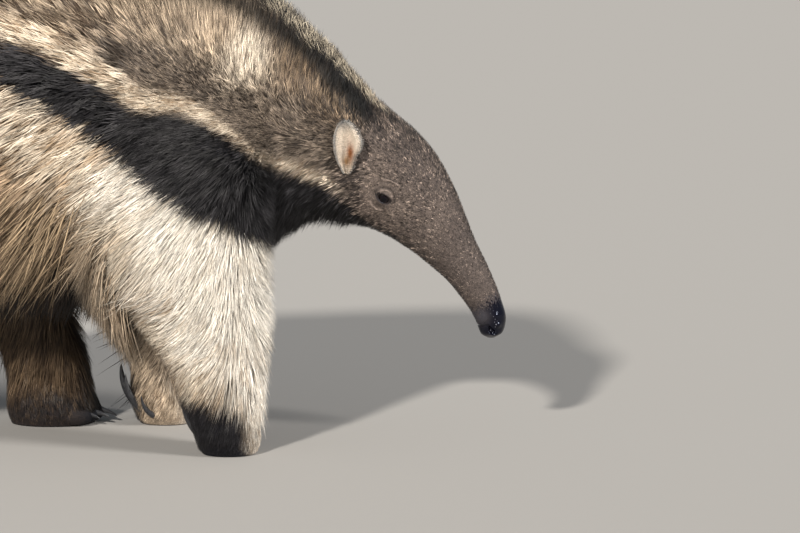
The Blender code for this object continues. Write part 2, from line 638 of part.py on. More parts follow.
def make_leg(name, side, stations, paw, trunk, finish_name):
    """A leg seated on the trunk, and its paw, which ends in a flat sole on the floor."""
    places = np.linspace(0, len(stations) - 1, LEG_RINGS)
    rings = [leg_ring(station_at(stations, u), side, LEG_SIDES, CORE_SHARE) for u in places]
    leg = loft(name, rings, finish_name)
    seat(leg, trunk["torso"], trunk["neck"])
    ankle = stations[-1]
    start = (ankle[0] - GAP, *ankle[1:])
    below = [(z, ankle[1] + x, ankle[2], long, wide, 0.0) for z, x, long, wide in paw]
    steps = np.linspace(0, len(below), PAW_RINGS)
    rings = [leg_ring(station_at([start, *below], u), side, LEG_SIDES, CORE_SHARE) for u in steps]
    return leg, loft(name.replace("leg", "paw"), rings, "dark_coat")


def claw(name, root, heading, up, length, half_width, curl):
    """A horn curved by curl degrees from its heading towards up, flattened from side to side."""
    across = heading.cross(up).normalized()
    rings, place = [], root.copy()
    for k in range(CLAW_STEPS):
        t = k / CLAW_STEPS
        turn = Matrix.Rotation(math.radians(curl * t), 3, across)
        along, outward = turn @ heading, turn @ up
        half = half_width * (1 - t) ** CLAW_TAPER
        rings.append(oval(place, outward * half, across * half * CLAW_FLATNESS, CLAW_SIDES))
        place = place + along * length / CLAW_STEPS
    middle = sum(rings[-1], Vector()) / CLAW_SIDES
    tip = [place + (p - middle) * CLAW_POINT for p in rings[-1]]
    return loft(name, [*rings, tip], "claw_horn")


def fore_claws(paw, side_name, side, stations):
    """Four claws folded back under the paw, so that their tips point up behind the wrist."""
    _, x, away, _, _, _ = stations[-1]
    for number, behind, inward, length, half_width, lean in FORECLAWS:
        root = Vector((x + behind, side * (away - inward), FORECLAW_HEIGHT))
        heading = Vector((-1, -side * lean, FORECLAW_RISE)).normalized()
        up = (Vector((0, 0, 1)) - heading * heading.z).normalized()
        made = claw(f"claw_fore_{side_name}_{number}", root, heading, up, length, half_width, FORECLAW_CURL)
        seat(made, paw)


def hind_paw_toes(paw, side_name, side, stations):
    """Five toes along the front of the sole, each with a short claw."""
    _, x, away, _, _, _ = stations[-1]
    front = x + HINDPAW[1][1] + HINDPAW[1][2]
    toes = []
    for _, inward, _, _ in HINDCLAWS:
        place = Vector((front - toe_back(inward), side * (away - inward), TOE_HEIGHT))
        toes.append(ellipsoid("toe", place, TOE_RADII, None, 5, 8))
    combine(paw, toes, "UNION")
    for number, inward, length, half_width in HINDCLAWS:
        root = Vector((front - toe_back(inward) + HINDCLAW_AHEAD, side * (away - inward), HINDCLAW_HEIGHT))
        heading = Vector((1, 0, HINDCLAW_RISE)).normalized()
        down = (Vector((0, 0, -1)) + heading * heading.z).normalized()
        made = claw(f"claw_hind_{side_name}_{number}", root, heading, down, length, half_width, HINDCLAW_CURL)
        seat(made, paw)


def toe_back(inward):
    return TOE_BACK + abs(inward) * TOE_SLANT


def grow_trunk_coat(trunk):
    """The crest along the nape and back, and the shaggy flanks, belly, neck and throat."""

    def surface(u, angle, share):
        return on_trunk(TRUNK, u, angle, share)

    last = TRUNK_END - 0.05
    stretches = (("neck", NECK_CUT, CHEST_CUT), ("torso", CHEST_CUT, TRUNK_END), ("head", CROWN, NECK_CUT))
    for name, start, end in stretches:
        node = trunk[name]
        others = [o for o in bpy.context.scene.objects if o != node]
        lie = CREST_LIE if name == "torso" else NAPE_LIE
        roots = both_sides(TRUNK, start, end, CREST_ANGLES, CREST_SPACING)
        locks = grow_locks(node, surface, roots, lie, others, last, upright=True)
        if name == "neck":
            roots = both_sides(TRUNK, start, end, NECK_ANGLES, NECK_SPACING)
            locks += grow_locks(node, surface, roots, NECK_LIE, others, last)
            roots = both_sides(TRUNK, start, end, THROAT_ANGLES, NECK_SPACING)
            locks += grow_locks(node, surface, roots, THROAT_LIE, others, last)
        if name == "torso":
            roots = both_sides(TRUNK, start, end, FLANK_ANGLES, FLANK_SPACING)
            locks += grow_locks(node, surface, roots, FLANK_LIE, others, last)
            roots = both_sides(TRUNK, start, end, BELLY_ANGLES, BELLY_SPACING)
            locks += grow_locks(node, surface, roots, BELLY_LIE, others, last)
        fuse(node, locks)


def grow_leg_coat(leg, stations, side, lie):
    """Locks that hang down a leg, all round it where it is free of the body."""

    def surface(u, angle, share):
        return on_leg(stations, side, u, angle, share)

    roots = []
    for row, u in enumerate(LEG_PLACES):
        angles = LEG_ANGLES if row == 0 else (*LEG_ANGLES, *LEG_INNER_ANGLES)
        for angle in angles:
            away = angle + LEG_STAGGER * (row % 2)
            roots.append((u, away if side > 0 else 180 - away))
    others = [o for o in bpy.context.scene.objects if o != leg]
    fuse(leg, grow_locks(leg, surface, roots, lie, others, len(stations) - 1.0))


def grow_tail_coat(tail):
    """The tail's curtain of long hair: it sweeps back along the top and hangs back and down from the sides."""

    def surface(u, angle, share):
        return on_trunk(TAIL, u, angle, share)

    others = [o for o in bpy.context.scene.objects if o != tail]
    last = len(TAIL) - 1.0
    roots = both_sides(TAIL, 0.1, TAIL_CORE_END, TAIL_SIDE_ANGLES, TAIL_SPACING)
    locks = grow_locks(tail, surface, roots, TAIL_SIDE_LIE, others, last)
    roots = [(u, -90) for u in spread(TAIL, 0.5, TAIL_CORE_END, TAIL_SPACING, 0.3)]
    locks += grow_locks(tail, surface, roots, TAIL_LOW_LIE, others, last)
    roots = [(u, 90) for u in spread(TAIL, 0.1, TAIL_CORE_END, TAIL_SPACING, 0.3)]
    locks += grow_locks(tail, surface, roots, TAIL_TOP_LIE, others, last)
    fuse(tail, locks)


def stand_on_origin():
    """Moves everything so that the origin lies on the floor, under the middle of the whole animal."""
    bpy.context.view_layer.update()
    shown = [o for o in bpy.context.scene.objects if o.type == "MESH"]
    corners = np.array([v.co for o in shown for v in o.data.vertices])
    low, high = corners.min(axis=0), corners.max(axis=0)
    shift = Matrix.Translation((-(low[0] + high[0]) / 2, -(low[1] + high[1]) / 2, -low[2]))
    for obj in shown:
        obj.data.transform(shift)
    print("stands from", low, "to", high, "moved by", shift.translation)


def main():
    clear_scene()
    trunk = make_trunk()
    shape_nose(trunk["nose"])
    shape_eyes(trunk["head"])
    make_ears(trunk["head"])
    legs = []
    for side_name, fore, hind in (("right", FORELEG_RIGHT, HINDLEG_RIGHT), ("left", FORELEG_LEFT, HINDLEG_LEFT)):
        side = SIDES[side_name]
        leg, paw = make_leg(f"foreleg_{side_name}", side, fore, FOREPAW, trunk, "cream_coat")
        fore_claws(paw, side_name, side, fore)
        legs.append((leg, fore, side, FORELEG_LIE))
        leg, paw = make_leg(f"hindleg_{side_name}", side, hind, HINDPAW, trunk, "dark_coat")
        hind_paw_toes(paw, side_name, side, hind)
        legs.append((leg, hind, side, HINDLEG_LIE))
    for leg, stations, side, lie in legs:
        grow_leg_coat(leg, stations, side, lie)
    grow_trunk_coat(trunk)
    grow_tail_coat(trunk["tail"])
    stand_on_origin()


main()
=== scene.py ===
# %% [markdown]
# # A giant anteater, life size
# The solids give each part of the animal its place, its size and its outline. This lesson dresses them. One
# skin goes over all the flesh, a coat of tufts follows the lie of the hair, and the eyes, ears and claws
# are finer pieces. Everything is in metres. The animal walks towards +X, and its left side is towards +Y.

# %% Load the solids
import json
import math

import bmesh
import bpy
import numpy as np
from mathutils import Matrix, Vector
from mathutils.bvhtree import BVHTree
from mathutils.kdtree import KDTree


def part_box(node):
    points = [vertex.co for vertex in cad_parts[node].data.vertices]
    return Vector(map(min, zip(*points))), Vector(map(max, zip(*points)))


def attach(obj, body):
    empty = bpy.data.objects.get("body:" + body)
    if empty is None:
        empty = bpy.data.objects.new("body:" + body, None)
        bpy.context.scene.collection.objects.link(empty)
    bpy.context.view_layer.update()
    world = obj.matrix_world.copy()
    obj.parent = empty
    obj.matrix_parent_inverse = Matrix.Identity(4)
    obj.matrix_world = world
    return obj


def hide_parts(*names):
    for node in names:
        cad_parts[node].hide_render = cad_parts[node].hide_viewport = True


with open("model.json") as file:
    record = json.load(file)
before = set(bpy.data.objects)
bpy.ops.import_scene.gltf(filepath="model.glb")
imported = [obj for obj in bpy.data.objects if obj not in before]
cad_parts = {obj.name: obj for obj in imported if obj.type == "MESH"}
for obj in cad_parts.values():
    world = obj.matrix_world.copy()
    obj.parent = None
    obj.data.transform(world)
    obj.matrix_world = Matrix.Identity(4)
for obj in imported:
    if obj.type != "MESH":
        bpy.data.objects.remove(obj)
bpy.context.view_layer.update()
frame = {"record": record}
dice = np.random.default_rng(20)

# %% [markdown]
# ## Where the animal was drawn
# The sections below were drawn with the near forefoot's ankle as their guide. The record says where that
# foot's sole ended up, so the difference of the two moves every section to its place among the solids.

# %% Find the shift from the drawing to the frame
DRAWN_SOLE = (0.039, -0.103, 0.0)
mounts = {mount["name"]: mount["pos_m"] for mount in frame["record"]["mounts"]}
shift = np.array(mounts["sole_fore_right"]) - DRAWN_SOLE
print("the drawing is moved by", shift)

# %% [markdown]
# ## Camera
# The photograph was taken from the animal's right with a long lens, from a little above, and shows its
# front half. A camera six metres off with a narrow field keeps the flat look that a long lens gives.

# %% Place the camera
AIM = np.array((0.250, 0.0, 0.217))
CAMERA_DISTANCE = 6.0
CAMERA_RISE = math.radians(9.0)
FIELD_WIDTH = 1.0
SENSOR = 36.0
PHOTO_WIDTH, PHOTO_HEIGHT = 800, 533


def add_camera():
    data = bpy.data.cameras.new("camera")
    data.sensor_width = SENSOR
    data.lens = SENSOR * CAMERA_DISTANCE / FIELD_WIDTH
    camera = bpy.data.objects.new("camera", data)
    bpy.context.scene.collection.objects.link(camera)
    away = Vector((0, -math.cos(CAMERA_RISE), math.sin(CAMERA_RISE)))
    camera.location = Vector(AIM + shift) + away * CAMERA_DISTANCE
    camera.rotation_euler = (-away).to_track_quat("-Z", "Y").to_euler()
    bpy.context.scene.camera = camera
    return camera


camera = add_camera()
print("camera at", camera.location)

# %% [markdown]
# ## Floor and light
# A pale floor keeps the attention on the animal. As in the photograph, a sun stands high to the left of the
# camera, so that it reaches the far hand behind the near foreleg. A weaker one lights the front edges from
# the right, and a pale surround fills the shadows.

# %% Make the floor and the lights
FLOOR_HALF = 30.0
FLOOR_COLOUR = (0.30, 0.29, 0.28, 1)
SURROUND_COLOUR, SURROUND_STRENGTH = (0.88, 0.94, 1.0, 1), 0.34
LAMPS = {
    "sun_lamp": ((-1.6, -4.1, 2.9), math.radians(4), 4.8, (1.0, 0.945, 0.86)),
    "rim_lamp": ((3.7, -1.9, 2.2), math.radians(14), 3.7, (1.0, 0.96, 0.90)),
}


def add_floor():
    corners = [(-FLOOR_HALF, -FLOOR_HALF, 0), (FLOOR_HALF, -FLOOR_HALF, 0)]
    corners += [(FLOOR_HALF, FLOOR_HALF, 0), (-FLOOR_HALF, FLOOR_HALF, 0)]
    mesh = bpy.data.meshes.new("floor")
    mesh.from_pydata(corners, [], [(0, 1, 2, 3)])
    floor = bpy.data.objects.new("floor", mesh)
    bpy.context.scene.collection.objects.link(floor)
    paint = bpy.data.materials.new("floor_paint")
    paint.use_nodes = True
    shader = paint.node_tree.nodes["Principled BSDF"]
    shader.inputs["Base Color"].default_value = FLOOR_COLOUR
    shader.inputs["Roughness"].default_value = 0.9
    mesh.materials.append(paint)


def add_lights():
    for name, (place, width, strength, colour) in LAMPS.items():
        data = bpy.data.lights.new(name, "SUN")
        data.angle = width
        data.energy = strength
        data.color = colour
        lamp = bpy.data.objects.new(name, data)
        bpy.context.scene.collection.objects.link(lamp)
        lamp.location = Vector(place) + Vector(shift)
        lamp.rotation_euler = (Vector(AIM + shift) - lamp.location).to_track_quat("-Z", "Y").to_euler()
    world = bpy.data.worlds.new("surround")
    world.use_nodes = True
    world.node_tree.nodes["Background"].inputs["Color"].default_value = SURROUND_COLOUR
    world.node_tree.nodes["Background"].inputs["Strength"].default_value = SURROUND_STRENGTH
    bpy.context.scene.world = world
    bpy.context.scene.view_settings.view_transform = "Standard"


add_floor()
add_lights()
print(len(LAMPS), "lamps")

# %% [markdown]
# ## The body's sections
# The body is drawn as a row of sections, as a boat builder would. A section of the trunk or tail says where
# its top and bottom are, how wide it is, and how deep the hair stands on top, at the side and below. A
# smooth curve runs through all of the sections.

# %% Sections of the trunk and the tail
TRUNK = [
    (0.37, 0.128, 0.358, 0.128, 0.006, 0.0, 0.0, 0.0),
    (0.379, 0.135, 0.351, 0.133, 0.013, 0.0, 0.0, 0.0),
    (0.3838, 0.1525, 0.3438, 0.1488, 0.019, 0.001, 0.001, 0.001),
    (0.38, 0.1713, 0.335, 0.1638, 0.021, 0.002, 0.002, 0.002),
    (0.3713, 0.1938, 0.3238, 0.18, 0.023, 0.002, 0.002, 0.002),
    (0.3588, 0.2225, 0.3075, 0.2, 0.026, 0.002, 0.002, 0.002),
    (0.345, 0.2525, 0.2838, 0.22, 0.03, 0.003, 0.003, 0.003),
    (0.3325, 0.285, 0.26, 0.2388, 0.035, 0.003, 0.003, 0.003),
    (0.3188, 0.32, 0.2363, 0.2538, 0.041, 0.004, 0.003, 0.004),
    (0.2975, 0.36, 0.21, 0.2663, 0.048, 0.005, 0.004, 0.005),
    (0.2725, 0.39, 0.1875, 0.2725, 0.054, 0.006, 0.005, 0.006),
    (0.2475, 0.4125, 0.1625, 0.2763, 0.06, 0.009, 0.006, 0.009),
    (0.2188, 0.4425, 0.135, 0.275, 0.07, 0.02, 0.01, 0.012),
    (0.1813, 0.485, 0.11, 0.265, 0.086, 0.032, 0.012, 0.014),
    (0.1438, 0.5225, 0.09, 0.25, 0.102, 0.042, 0.015, 0.017),
    (0.106, 0.5575, 0.072, 0.237, 0.117, 0.05, 0.018, 0.022),
    (0.062, 0.59, 0.042, 0.224, 0.128, 0.054, 0.021, 0.032),
    (0.006, 0.612, 0.006, 0.212, 0.137, 0.057, 0.025, 0.046),
    (-0.062, 0.622, -0.062, 0.202, 0.143, 0.059, 0.028, 0.056),
    (-0.15, 0.62, -0.15, 0.195, 0.148, 0.06, 0.031, 0.062),
    (-0.25, 0.607, -0.25, 0.197, 0.149, 0.06, 0.032, 0.062),
    (-0.35, 0.585, -0.347, 0.21, 0.146, 0.058, 0.032, 0.056),
    (-0.425, 0.556, -0.418, 0.235, 0.136, 0.053, 0.032, 0.05),
    (-0.487, 0.512, -0.47, 0.275, 0.114, 0.046, 0.03, 0.04),
    (-0.531, 0.46, -0.508, 0.315, 0.086, 0.037, 0.026, 0.031),
    (-0.555, 0.418, -0.53, 0.34, 0.062, 0.03, 0.022, 0.026),
]
TAIL = [
    (-0.556, 0.417, -0.532, 0.338, 0.06, 0.03, 0.022, 0.026),
    (-0.61, 0.418, -0.6, 0.26, 0.06, 0.032, 0.024, 0.09),
    (-0.69, 0.422, -0.69, 0.15, 0.058, 0.036, 0.026, 0.15),
    (-0.79, 0.42, -0.795, 0.085, 0.055, 0.04, 0.026, 0.19),
    (-0.9, 0.408, -0.91, 0.052, 0.052, 0.042, 0.026, 0.2),
    (-1.01, 0.388, -1.025, 0.045, 0.048, 0.044, 0.026, 0.19),
    (-1.12, 0.356, -1.135, 0.06, 0.043, 0.046, 0.026, 0.17),
    (-1.22, 0.312, -1.23, 0.095, 0.036, 0.046, 0.024, 0.13),
    (-1.3, 0.255, -1.3, 0.14, 0.024, 0.04, 0.016, 0.07),
    (-1.345, 0.21, -1.34, 0.175, 0.008, 0.012, 0.005, 0.012),
]
HEAD_START, NECK_START, SHOULDER_START, FLANK_START, TRUNK_END = 3.0, 12.3, 15.2, 18.2, 25.0
TAIL_END = 7.4

# %% [markdown]
# A leg's sections run down it and are level. Each gives its height, the place of its middle along the body
# and to the side, its half length and half width, and the depth of its hair. The paw's sections go on down
# to the sole.

# %% Sections of the legs
LEGS = {
    "foreleg_right": [
        (0.440, 0.020, 0.080, 0.070, 0.044, 0.010),
        (0.370, 0.008, 0.090, 0.098, 0.058, 0.018),
        (0.290, -0.010, 0.098, 0.108, 0.064, 0.022),
        (0.216, -0.008, 0.102, 0.103, 0.060, 0.024),
        (0.165, 0.010, 0.103, 0.085, 0.055, 0.022),
        (0.110, 0.025, 0.103, 0.064, 0.050, 0.015),
        (0.060, 0.031, 0.103, 0.052, 0.045, 0.009),
    ],
    "foreleg_left": [
        (0.440, 0.012, 0.080, 0.070, 0.044, 0.010),
        (0.370, 0.002, 0.090, 0.088, 0.058, 0.014),
        (0.290, -0.022, 0.098, 0.084, 0.064, 0.018),
        (0.210, -0.044, 0.102, 0.074, 0.058, 0.018),
        (0.140, -0.056, 0.103, 0.056, 0.052, 0.016),
        (0.090, -0.060, 0.103, 0.040, 0.046, 0.010),
        (0.060, -0.057, 0.103, 0.036, 0.043, 0.006),
    ],
    "hindleg_right": [
        (0.450, -0.420, 0.070, 0.080, 0.044, 0.012),
        (0.380, -0.428, 0.086, 0.112, 0.060, 0.018),
        (0.300, -0.442, 0.094, 0.104, 0.064, 0.022),
        (0.220, -0.474, 0.098, 0.082, 0.056, 0.020),
        (0.140, -0.515, 0.100, 0.064, 0.048, 0.016),
        (0.090, -0.538, 0.100, 0.056, 0.044, 0.012),
        (0.060, -0.546, 0.100, 0.054, 0.042, 0.008),
    ],
    "hindleg_left": [
        (0.450, -0.400, 0.070, 0.080, 0.044, 0.012),
        (0.380, -0.378, 0.086, 0.112, 0.060, 0.018),
        (0.300, -0.330, 0.094, 0.104, 0.064, 0.022),
        (0.220, -0.270, 0.098, 0.084, 0.056, 0.020),
        (0.140, -0.223, 0.100, 0.066, 0.048, 0.016),
        (0.090, -0.203, 0.100, 0.058, 0.044, 0.012),
        (0.060, -0.197, 0.100, 0.056, 0.042, 0.008),
    ],
}
# What a paw adds below its leg: height, x from the leg's foot, half length, half width, hair
FOREPAW = [
    (0.036, 0.004, 0.043, 0.043, 0.004), (0.013, 0.007, 0.04, 0.038, 0.003),
    (0.001, 0.008, 0.034, 0.03, 0.001),
]
HINDPAW = [
    (0.04, 0.002, 0.058, 0.043, 0.004), (0.018, 0.004, 0.06, 0.044, 0.003),
    (0.001, 0.004, 0.054, 0.037, 0.001),
]
SIDES = {"right": -1, "left": 1}


def side_of(name):
    return SIDES[name.rsplit("_", 1)[1]]


def with_paw(name):
    """A leg's sections and its paw's, as one list."""
    leg, paw = LEGS[name], FOREPAW if name.startswith("fore") else HINDPAW
    _, x, away, _, _, _ = leg[-1]
    return [*leg, *[(z, x + dx, away, long, wide, hair) for z, dx, long, wide, hair in paw]]


# %% [markdown]
# ## From sections to points
# Every piece of the skin and every hair root is a point of some section, so a few short functions do all of
# the geometry. The angle runs round a section: 0 at the animal's left, 90 on top or at a leg's rear, 180 at
# its right.

# %% Points on the sections
ROUNDNESS = 2.2
FLESH = 0.9  # the share of the coat's depth that is hair, so the skin lies that far inside the outline


def stations_at(table, places):
    """The sections at these places along the list, on a smooth curve through all of them."""
    table = np.asarray(table, float)
    u = np.clip(places, 0, len(table) - 1.0)
    i = np.minimum(u.astype(int), len(table) - 2)
    t = (u - i)[:, None]
    before, first = table[np.maximum(i - 1, 0)], table[i]
    last, after = table[i + 1], table[np.minimum(i + 2, len(table) - 1)]
    slope = (last - before) * t
    bend = (2 * before - 5 * first + 4 * last - after) * t**2
    twist = (3 * first - before - 3 * last + after) * t**3
    return 0.5 * (2 * first + slope + bend + twist)


def round_section(middle, up, across, degrees):
    c, s = np.cos(np.radians(degrees)), np.sin(np.radians(degrees))
    wide = np.sign(c) * np.abs(c) ** (2 / ROUNDNESS)
    high = np.sign(s) * np.abs(s) ** (2 / ROUNDNESS)
    return middle + across * wide[:, None] + up * high[:, None]


def trunk_point(table, u, degrees, share=FLESH):
    rows = stations_at(table, u)
    zero = np.zeros(len(rows))
    top = np.stack([rows[:, 0], zero, rows[:, 1]], 1)
    low = np.stack([rows[:, 2], zero, rows[:, 3]], 1)
    along = (top - low) / np.linalg.norm(top - low, axis=1)[:, None]
    top = top - along * rows[:, 5:6] * share
    low = low + along * rows[:, 7:8] * share
    across = np.stack([zero, rows[:, 4] - rows[:, 6] * share, zero], 1)
    return round_section((top + low) / 2, (top - low) / 2, across, degrees)


def leg_point(table, side, u, degrees, share=FLESH):
    rows = stations_at(table, u)
    zero = np.zeros(len(rows))
    middle = np.stack([rows[:, 1], side * rows[:, 2], rows[:, 0]], 1)
    rear = np.stack([rows[:, 5] * share - rows[:, 3], zero, zero], 1)
    across = np.stack([zero, rows[:, 4] - rows[:, 5] * share, zero], 1)
    return round_section(middle, rear, across, degrees)


def smooth(x):
    """Rises gently from 0 to 1 while x goes from 0 to 1."""
    x = np.clip(x, 0, 1)
    return x * x * (3 - 2 * x)


PALE_FROM, PALE_SOFT = 0.25, 0.35


def paleness(colour):
    """0 for dark hair and 1 for pale hair, with a soft step between them."""
    return smooth((colour.mean(1) - PALE_FROM) / PALE_SOFT)


def unit(v):
    return v / np.maximum(np.linalg.norm(v, axis=-1, keepdims=True), 1e-9)


# %% [markdown]
# ## The skin
# Under the coat the animal is one smooth surface. Six sleeves are drawn through the sections, for the
# trunk, the tail and the legs with their paws. A Boolean union makes one closed surface of them, and where
# two of them meet the points are relaxed, as flesh would be. The head's part of the trunk has many more
# rings than the rest, for the face's detail.

# %% Make the sleeves
ROUND_TRUNK, ROUND_TAIL, ROUND_LEG = 128, 64, 56
CAP_RINGS = 4


def new_object(name, points, faces):
    mesh = bpy.data.meshes.new(name)
    mesh.from_pydata(np.asarray(points).tolist(), [], faces)
    obj = bpy.data.objects.new(name, mesh)
    bpy.context.scene.collection.objects.link(obj)
    return obj


def tube_faces(rings, count):
    """The four-sided faces between each ring of points and the next."""
    faces = []
    for r in range(rings - 1):
        for k in range(count):
            a, b = r * count + k, r * count + (k + 1) % count
            faces.append((a, b, b + count, a + count))
    return faces


def cap_rings(ring, before, bulge):
    """Rings that close a sleeve with a round end."""
    middle = ring.mean(0)
    out = unit(middle - before.mean(0))
    turns = [math.radians(90 * (k + 1) / (CAP_RINGS + 1)) for k in range(CAP_RINGS)]
    return [middle + (ring - middle) * math.cos(turn) + out * bulge * math.sin(turn) for turn in turns]


def sleeve(rings, bulge_start, bulge_end):
    """The points and faces of a closed sleeve through the rings, with its faces pointing out."""
    start = cap_rings(rings[0], rings[1], bulge_start)[::-1]
    end = cap_rings(rings[-1], rings[-2], bulge_end)
    rings = [*start, *rings, *end]
    count = len(rings[0])
    points = np.concatenate(rings) + shift
    faces = tube_faces(len(rings), count)
    middle = points.mean(0)
    corners = points[np.array(faces)] - middle
    volume = (np.cross(corners[:, 0], corners[:, 1]) * corners[:, 2]).sum()
    faces.append(tuple(range(count - 1, -1, -1)))
    faces.append(tuple(range(len(points) - count, len(points))))
    if volume < 0:
        faces = [face[::-1] for face in faces]
    return points, faces


def trunk_sleeve(share):
    places = [np.linspace(0, HEAD_START, 46), np.linspace(HEAD_START, NECK_START, 140)[1:]]
    places.append(np.linspace(NECK_START, TRUNK_END, 96)[1:])
    turn = np.arange(ROUND_TRUNK) * 360 / ROUND_TRUNK
    rings = [trunk_point(TRUNK, np.full(ROUND_TRUNK, u), turn, share) for u in np.concatenate(places)]
    return sleeve(rings, 0.0008, 0.020)


def tail_sleeve(share, end):
    turn = np.arange(ROUND_TAIL) * 360 / ROUND_TAIL
    rings = [trunk_point(TAIL, np.full(ROUND_TAIL, u), turn, share) for u in np.linspace(0, end, 90)]
    first = rings[0].mean(0) + (rings[0] - rings[0].mean(0)) * 0.8 + np.array((0.05, 0, 0))
    return sleeve([first, *rings], 0.01, 0.006)


def leg_sleeve(name, share):
    table = with_paw(name)
    turn = np.arange(ROUND_LEG) * 360 / ROUND_LEG
    places = np.linspace(0, len(table) - 1, 76)
    rings = [leg_point(table, side_of(name), np.full(ROUND_LEG, u), turn, share) for u in places]
    return sleeve(rings, 0.008, 0.0005)


shapes = {"trunk": trunk_sleeve(FLESH), "tail": tail_sleeve(FLESH, TAIL_END)}
shapes.update({name: leg_sleeve(name, FLESH) for name in LEGS})
sleeves = [new_object(name, *shape) for name, shape in shapes.items()]
sleeve_trees = [BVHTree.FromPolygons(points.tolist(), faces) for points, faces in shapes.values()]
print("sleeves:", [(o.name, len(o.data.polygons)) for o in sleeves])

# %% Join the sleeves and the hind toes
TOE_RADII = (0.021, 0.0088, 0.0115)
TOE_HEIGHT, TOE_BACK, TOE_SLANT = 0.0130, 0.015, 0.45
HIND_TOES = (0.0310, 0.0165, 0.0010, -0.0145, -0.0290)


def toe_place(name, inward):
    """The middle of a hind toe, by its distance from the paw's middle line towards the body."""
    _, x, away, _, _, _ = LEGS[name][-1]
    front = x + HINDPAW[1][1] + HINDPAW[1][2]
    back = TOE_BACK + abs(inward) * TOE_SLANT
    return Vector((front - back, side_of(name) * (away - inward), TOE_HEIGHT)) + Vector(shift)


def ball(name, place, radii, turn=None, rings=16, count=24):
    shape = bmesh.new()
    bmesh.ops.create_uvsphere(shape, u_segments=count, v_segments=rings, radius=1)
    matrix = Matrix.Translation(place) @ (turn or Matrix.Identity(4)) @ Matrix.Diagonal((*radii, 1))
    bmesh.ops.transform(shape, matrix=matrix, verts=shape.verts)
    mesh = bpy.data.meshes.new(name)
    shape.to_mesh(mesh)
    shape.free()
    obj = bpy.data.objects.new(name, mesh)
    bpy.context.scene.collection.objects.link(obj)
    return obj


def join(obj, others):
    """One Boolean union of obj with all the others, which are then removed."""
    group = bpy.data.collections.new("joined")
    bpy.context.scene.collection.children.link(group)
    for other in others:
        bpy.context.scene.collection.objects.unlink(other)
        group.objects.link(other)
    modifier = obj.modifiers.new("join", "BOOLEAN")
    modifier.operation = "UNION"
    modifier.operand_type = "COLLECTION"
    modifier.collection = group
    modifier.solver = "EXACT"
    bpy.context.view_layer.update()
    made = bpy.data.meshes.new_from_object(obj.evaluated_get(bpy.context.evaluated_depsgraph_get()))
    obj.modifiers.clear()
    obj.data = made
    for other in others:
        bpy.data.objects.remove(other)
    bpy.data.collections.remove(group)


toes = [
    ball("toe", toe_place(name, inward), TOE_RADII)
    for name in LEGS if name.startswith("hind") for inward in HIND_TOES
]
skin = sleeves[0]
skin.name = "skin"
join(skin, sleeves[1:] + toes)
print("joined skin:", len(skin.data.vertices), "points")

# %% Relax the skin where two sleeves meet
RELAX_REACH, RELAX_ROUNDS, RELAX_FLOOR = 0.035, 24, 0.10


def points_of(obj):
    found = np.empty(len(obj.data.vertices) * 3)
    obj.data.vertices.foreach_get("co", found)
    return found.reshape(-1, 3)


def put_points(obj, points):
    obj.data.vertices.foreach_set("co", np.ascontiguousarray(points, np.float32).ravel())
    obj.data.update()


def edges_of(obj):
    found = np.empty(len(obj.data.edges) * 2, np.int32)
    obj.data.edges.foreach_get("vertices", found)
    return found.reshape(-1, 2)


def relax(points, edges, weight, rounds):
    a, b = edges[:, 0], edges[:, 1]
    degree = np.maximum(np.bincount(edges.ravel(), minlength=len(points)), 1)
    for _ in range(rounds):
        total = np.stack(
            [
                np.bincount(a, points[b, k], len(points)) + np.bincount(b, points[a, k], len(points))
                for k in range(points.shape[1])
            ],
            1,
        )
        points = points + weight[:, None] * (total / degree[:, None] - points)
    return points


def relax_joins(obj):
    points = points_of(obj)
    gaps = np.full((len(sleeve_trees), len(points)), 1.0)
    for row, tree in enumerate(sleeve_trees):
        for k, p in enumerate(points):
            found = tree.find_nearest(Vector(p), RELAX_REACH)
            if found[0] is not None:
                gaps[row, k] = found[3]
    second = np.sort(gaps, 0)[1]
    weight = smooth(1 - second / RELAX_REACH) * 0.5 * (points[:, 2] > RELAX_FLOOR)
    put_points(obj, relax(points, edges_of(obj), weight, RELAX_ROUNDS))
    print("relaxed", int((weight > 0).sum()), "points")


relax_joins(skin)

# %% [markdown]
# ## The face
# The eye is a ball set in the side of the head, and two lids of thin skin fold over it. The skin's grid is
# made finer round each eye first. Then each point is lifted or sunk along the face's normal: up and over
# the ball at the lids, down behind the ball inside the opening, and into small folds above and below.

# %% Find the eyes on the skin
EYE_RADIUS, EYE_SINK = 0.0085, 0.0022
EYE_TILT = math.radians(-35)
OPEN_LONG, OPEN_HIGH = 0.0076, 0.0050
LID_THICK, UPPER_LID_MORE, LID_REACH, LID_DIVE, LID_SOFT = 0.0008, 0.0004, 1.5, 0.0045, 0.22
FINE_REACH, FACE_SLACK = 0.029, 0.02


def tree_of(obj):
    return BVHTree.FromPolygons([v.co for v in obj.data.vertices], [p.vertices for p in obj.data.polygons])


def eye_frame(tree, name):
    """The eye's middle, the skin's point and normal over it, and its long and short directions."""
    low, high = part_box("eye_" + name)
    middle = (low + high) / 2
    side = SIDES[name]
    place, normal, _, _ = tree.ray_cast(Vector((middle.x, side, middle.z)), Vector((0, -side, 0)))
    middle = middle - normal * EYE_SINK
    long = Vector((math.cos(EYE_TILT), 0, math.sin(EYE_TILT)))
    long = (long - normal * long.dot(normal)).normalized()
    high_way = normal.cross(long)
    if high_way.z < 0:
        high_way = -high_way
    return {"middle": middle, "place": place, "normal": normal, "long": long, "high": high_way}


skin_tree = tree_of(skin)
eyes = {name: eye_frame(skin_tree, name) for name in SIDES}
for name, eye in eyes.items():
    stand = (eye["middle"] - eye["place"]).dot(eye["normal"])
    print("eye", name, "stands", round(stand * 1000, 2), "mm off the skin")


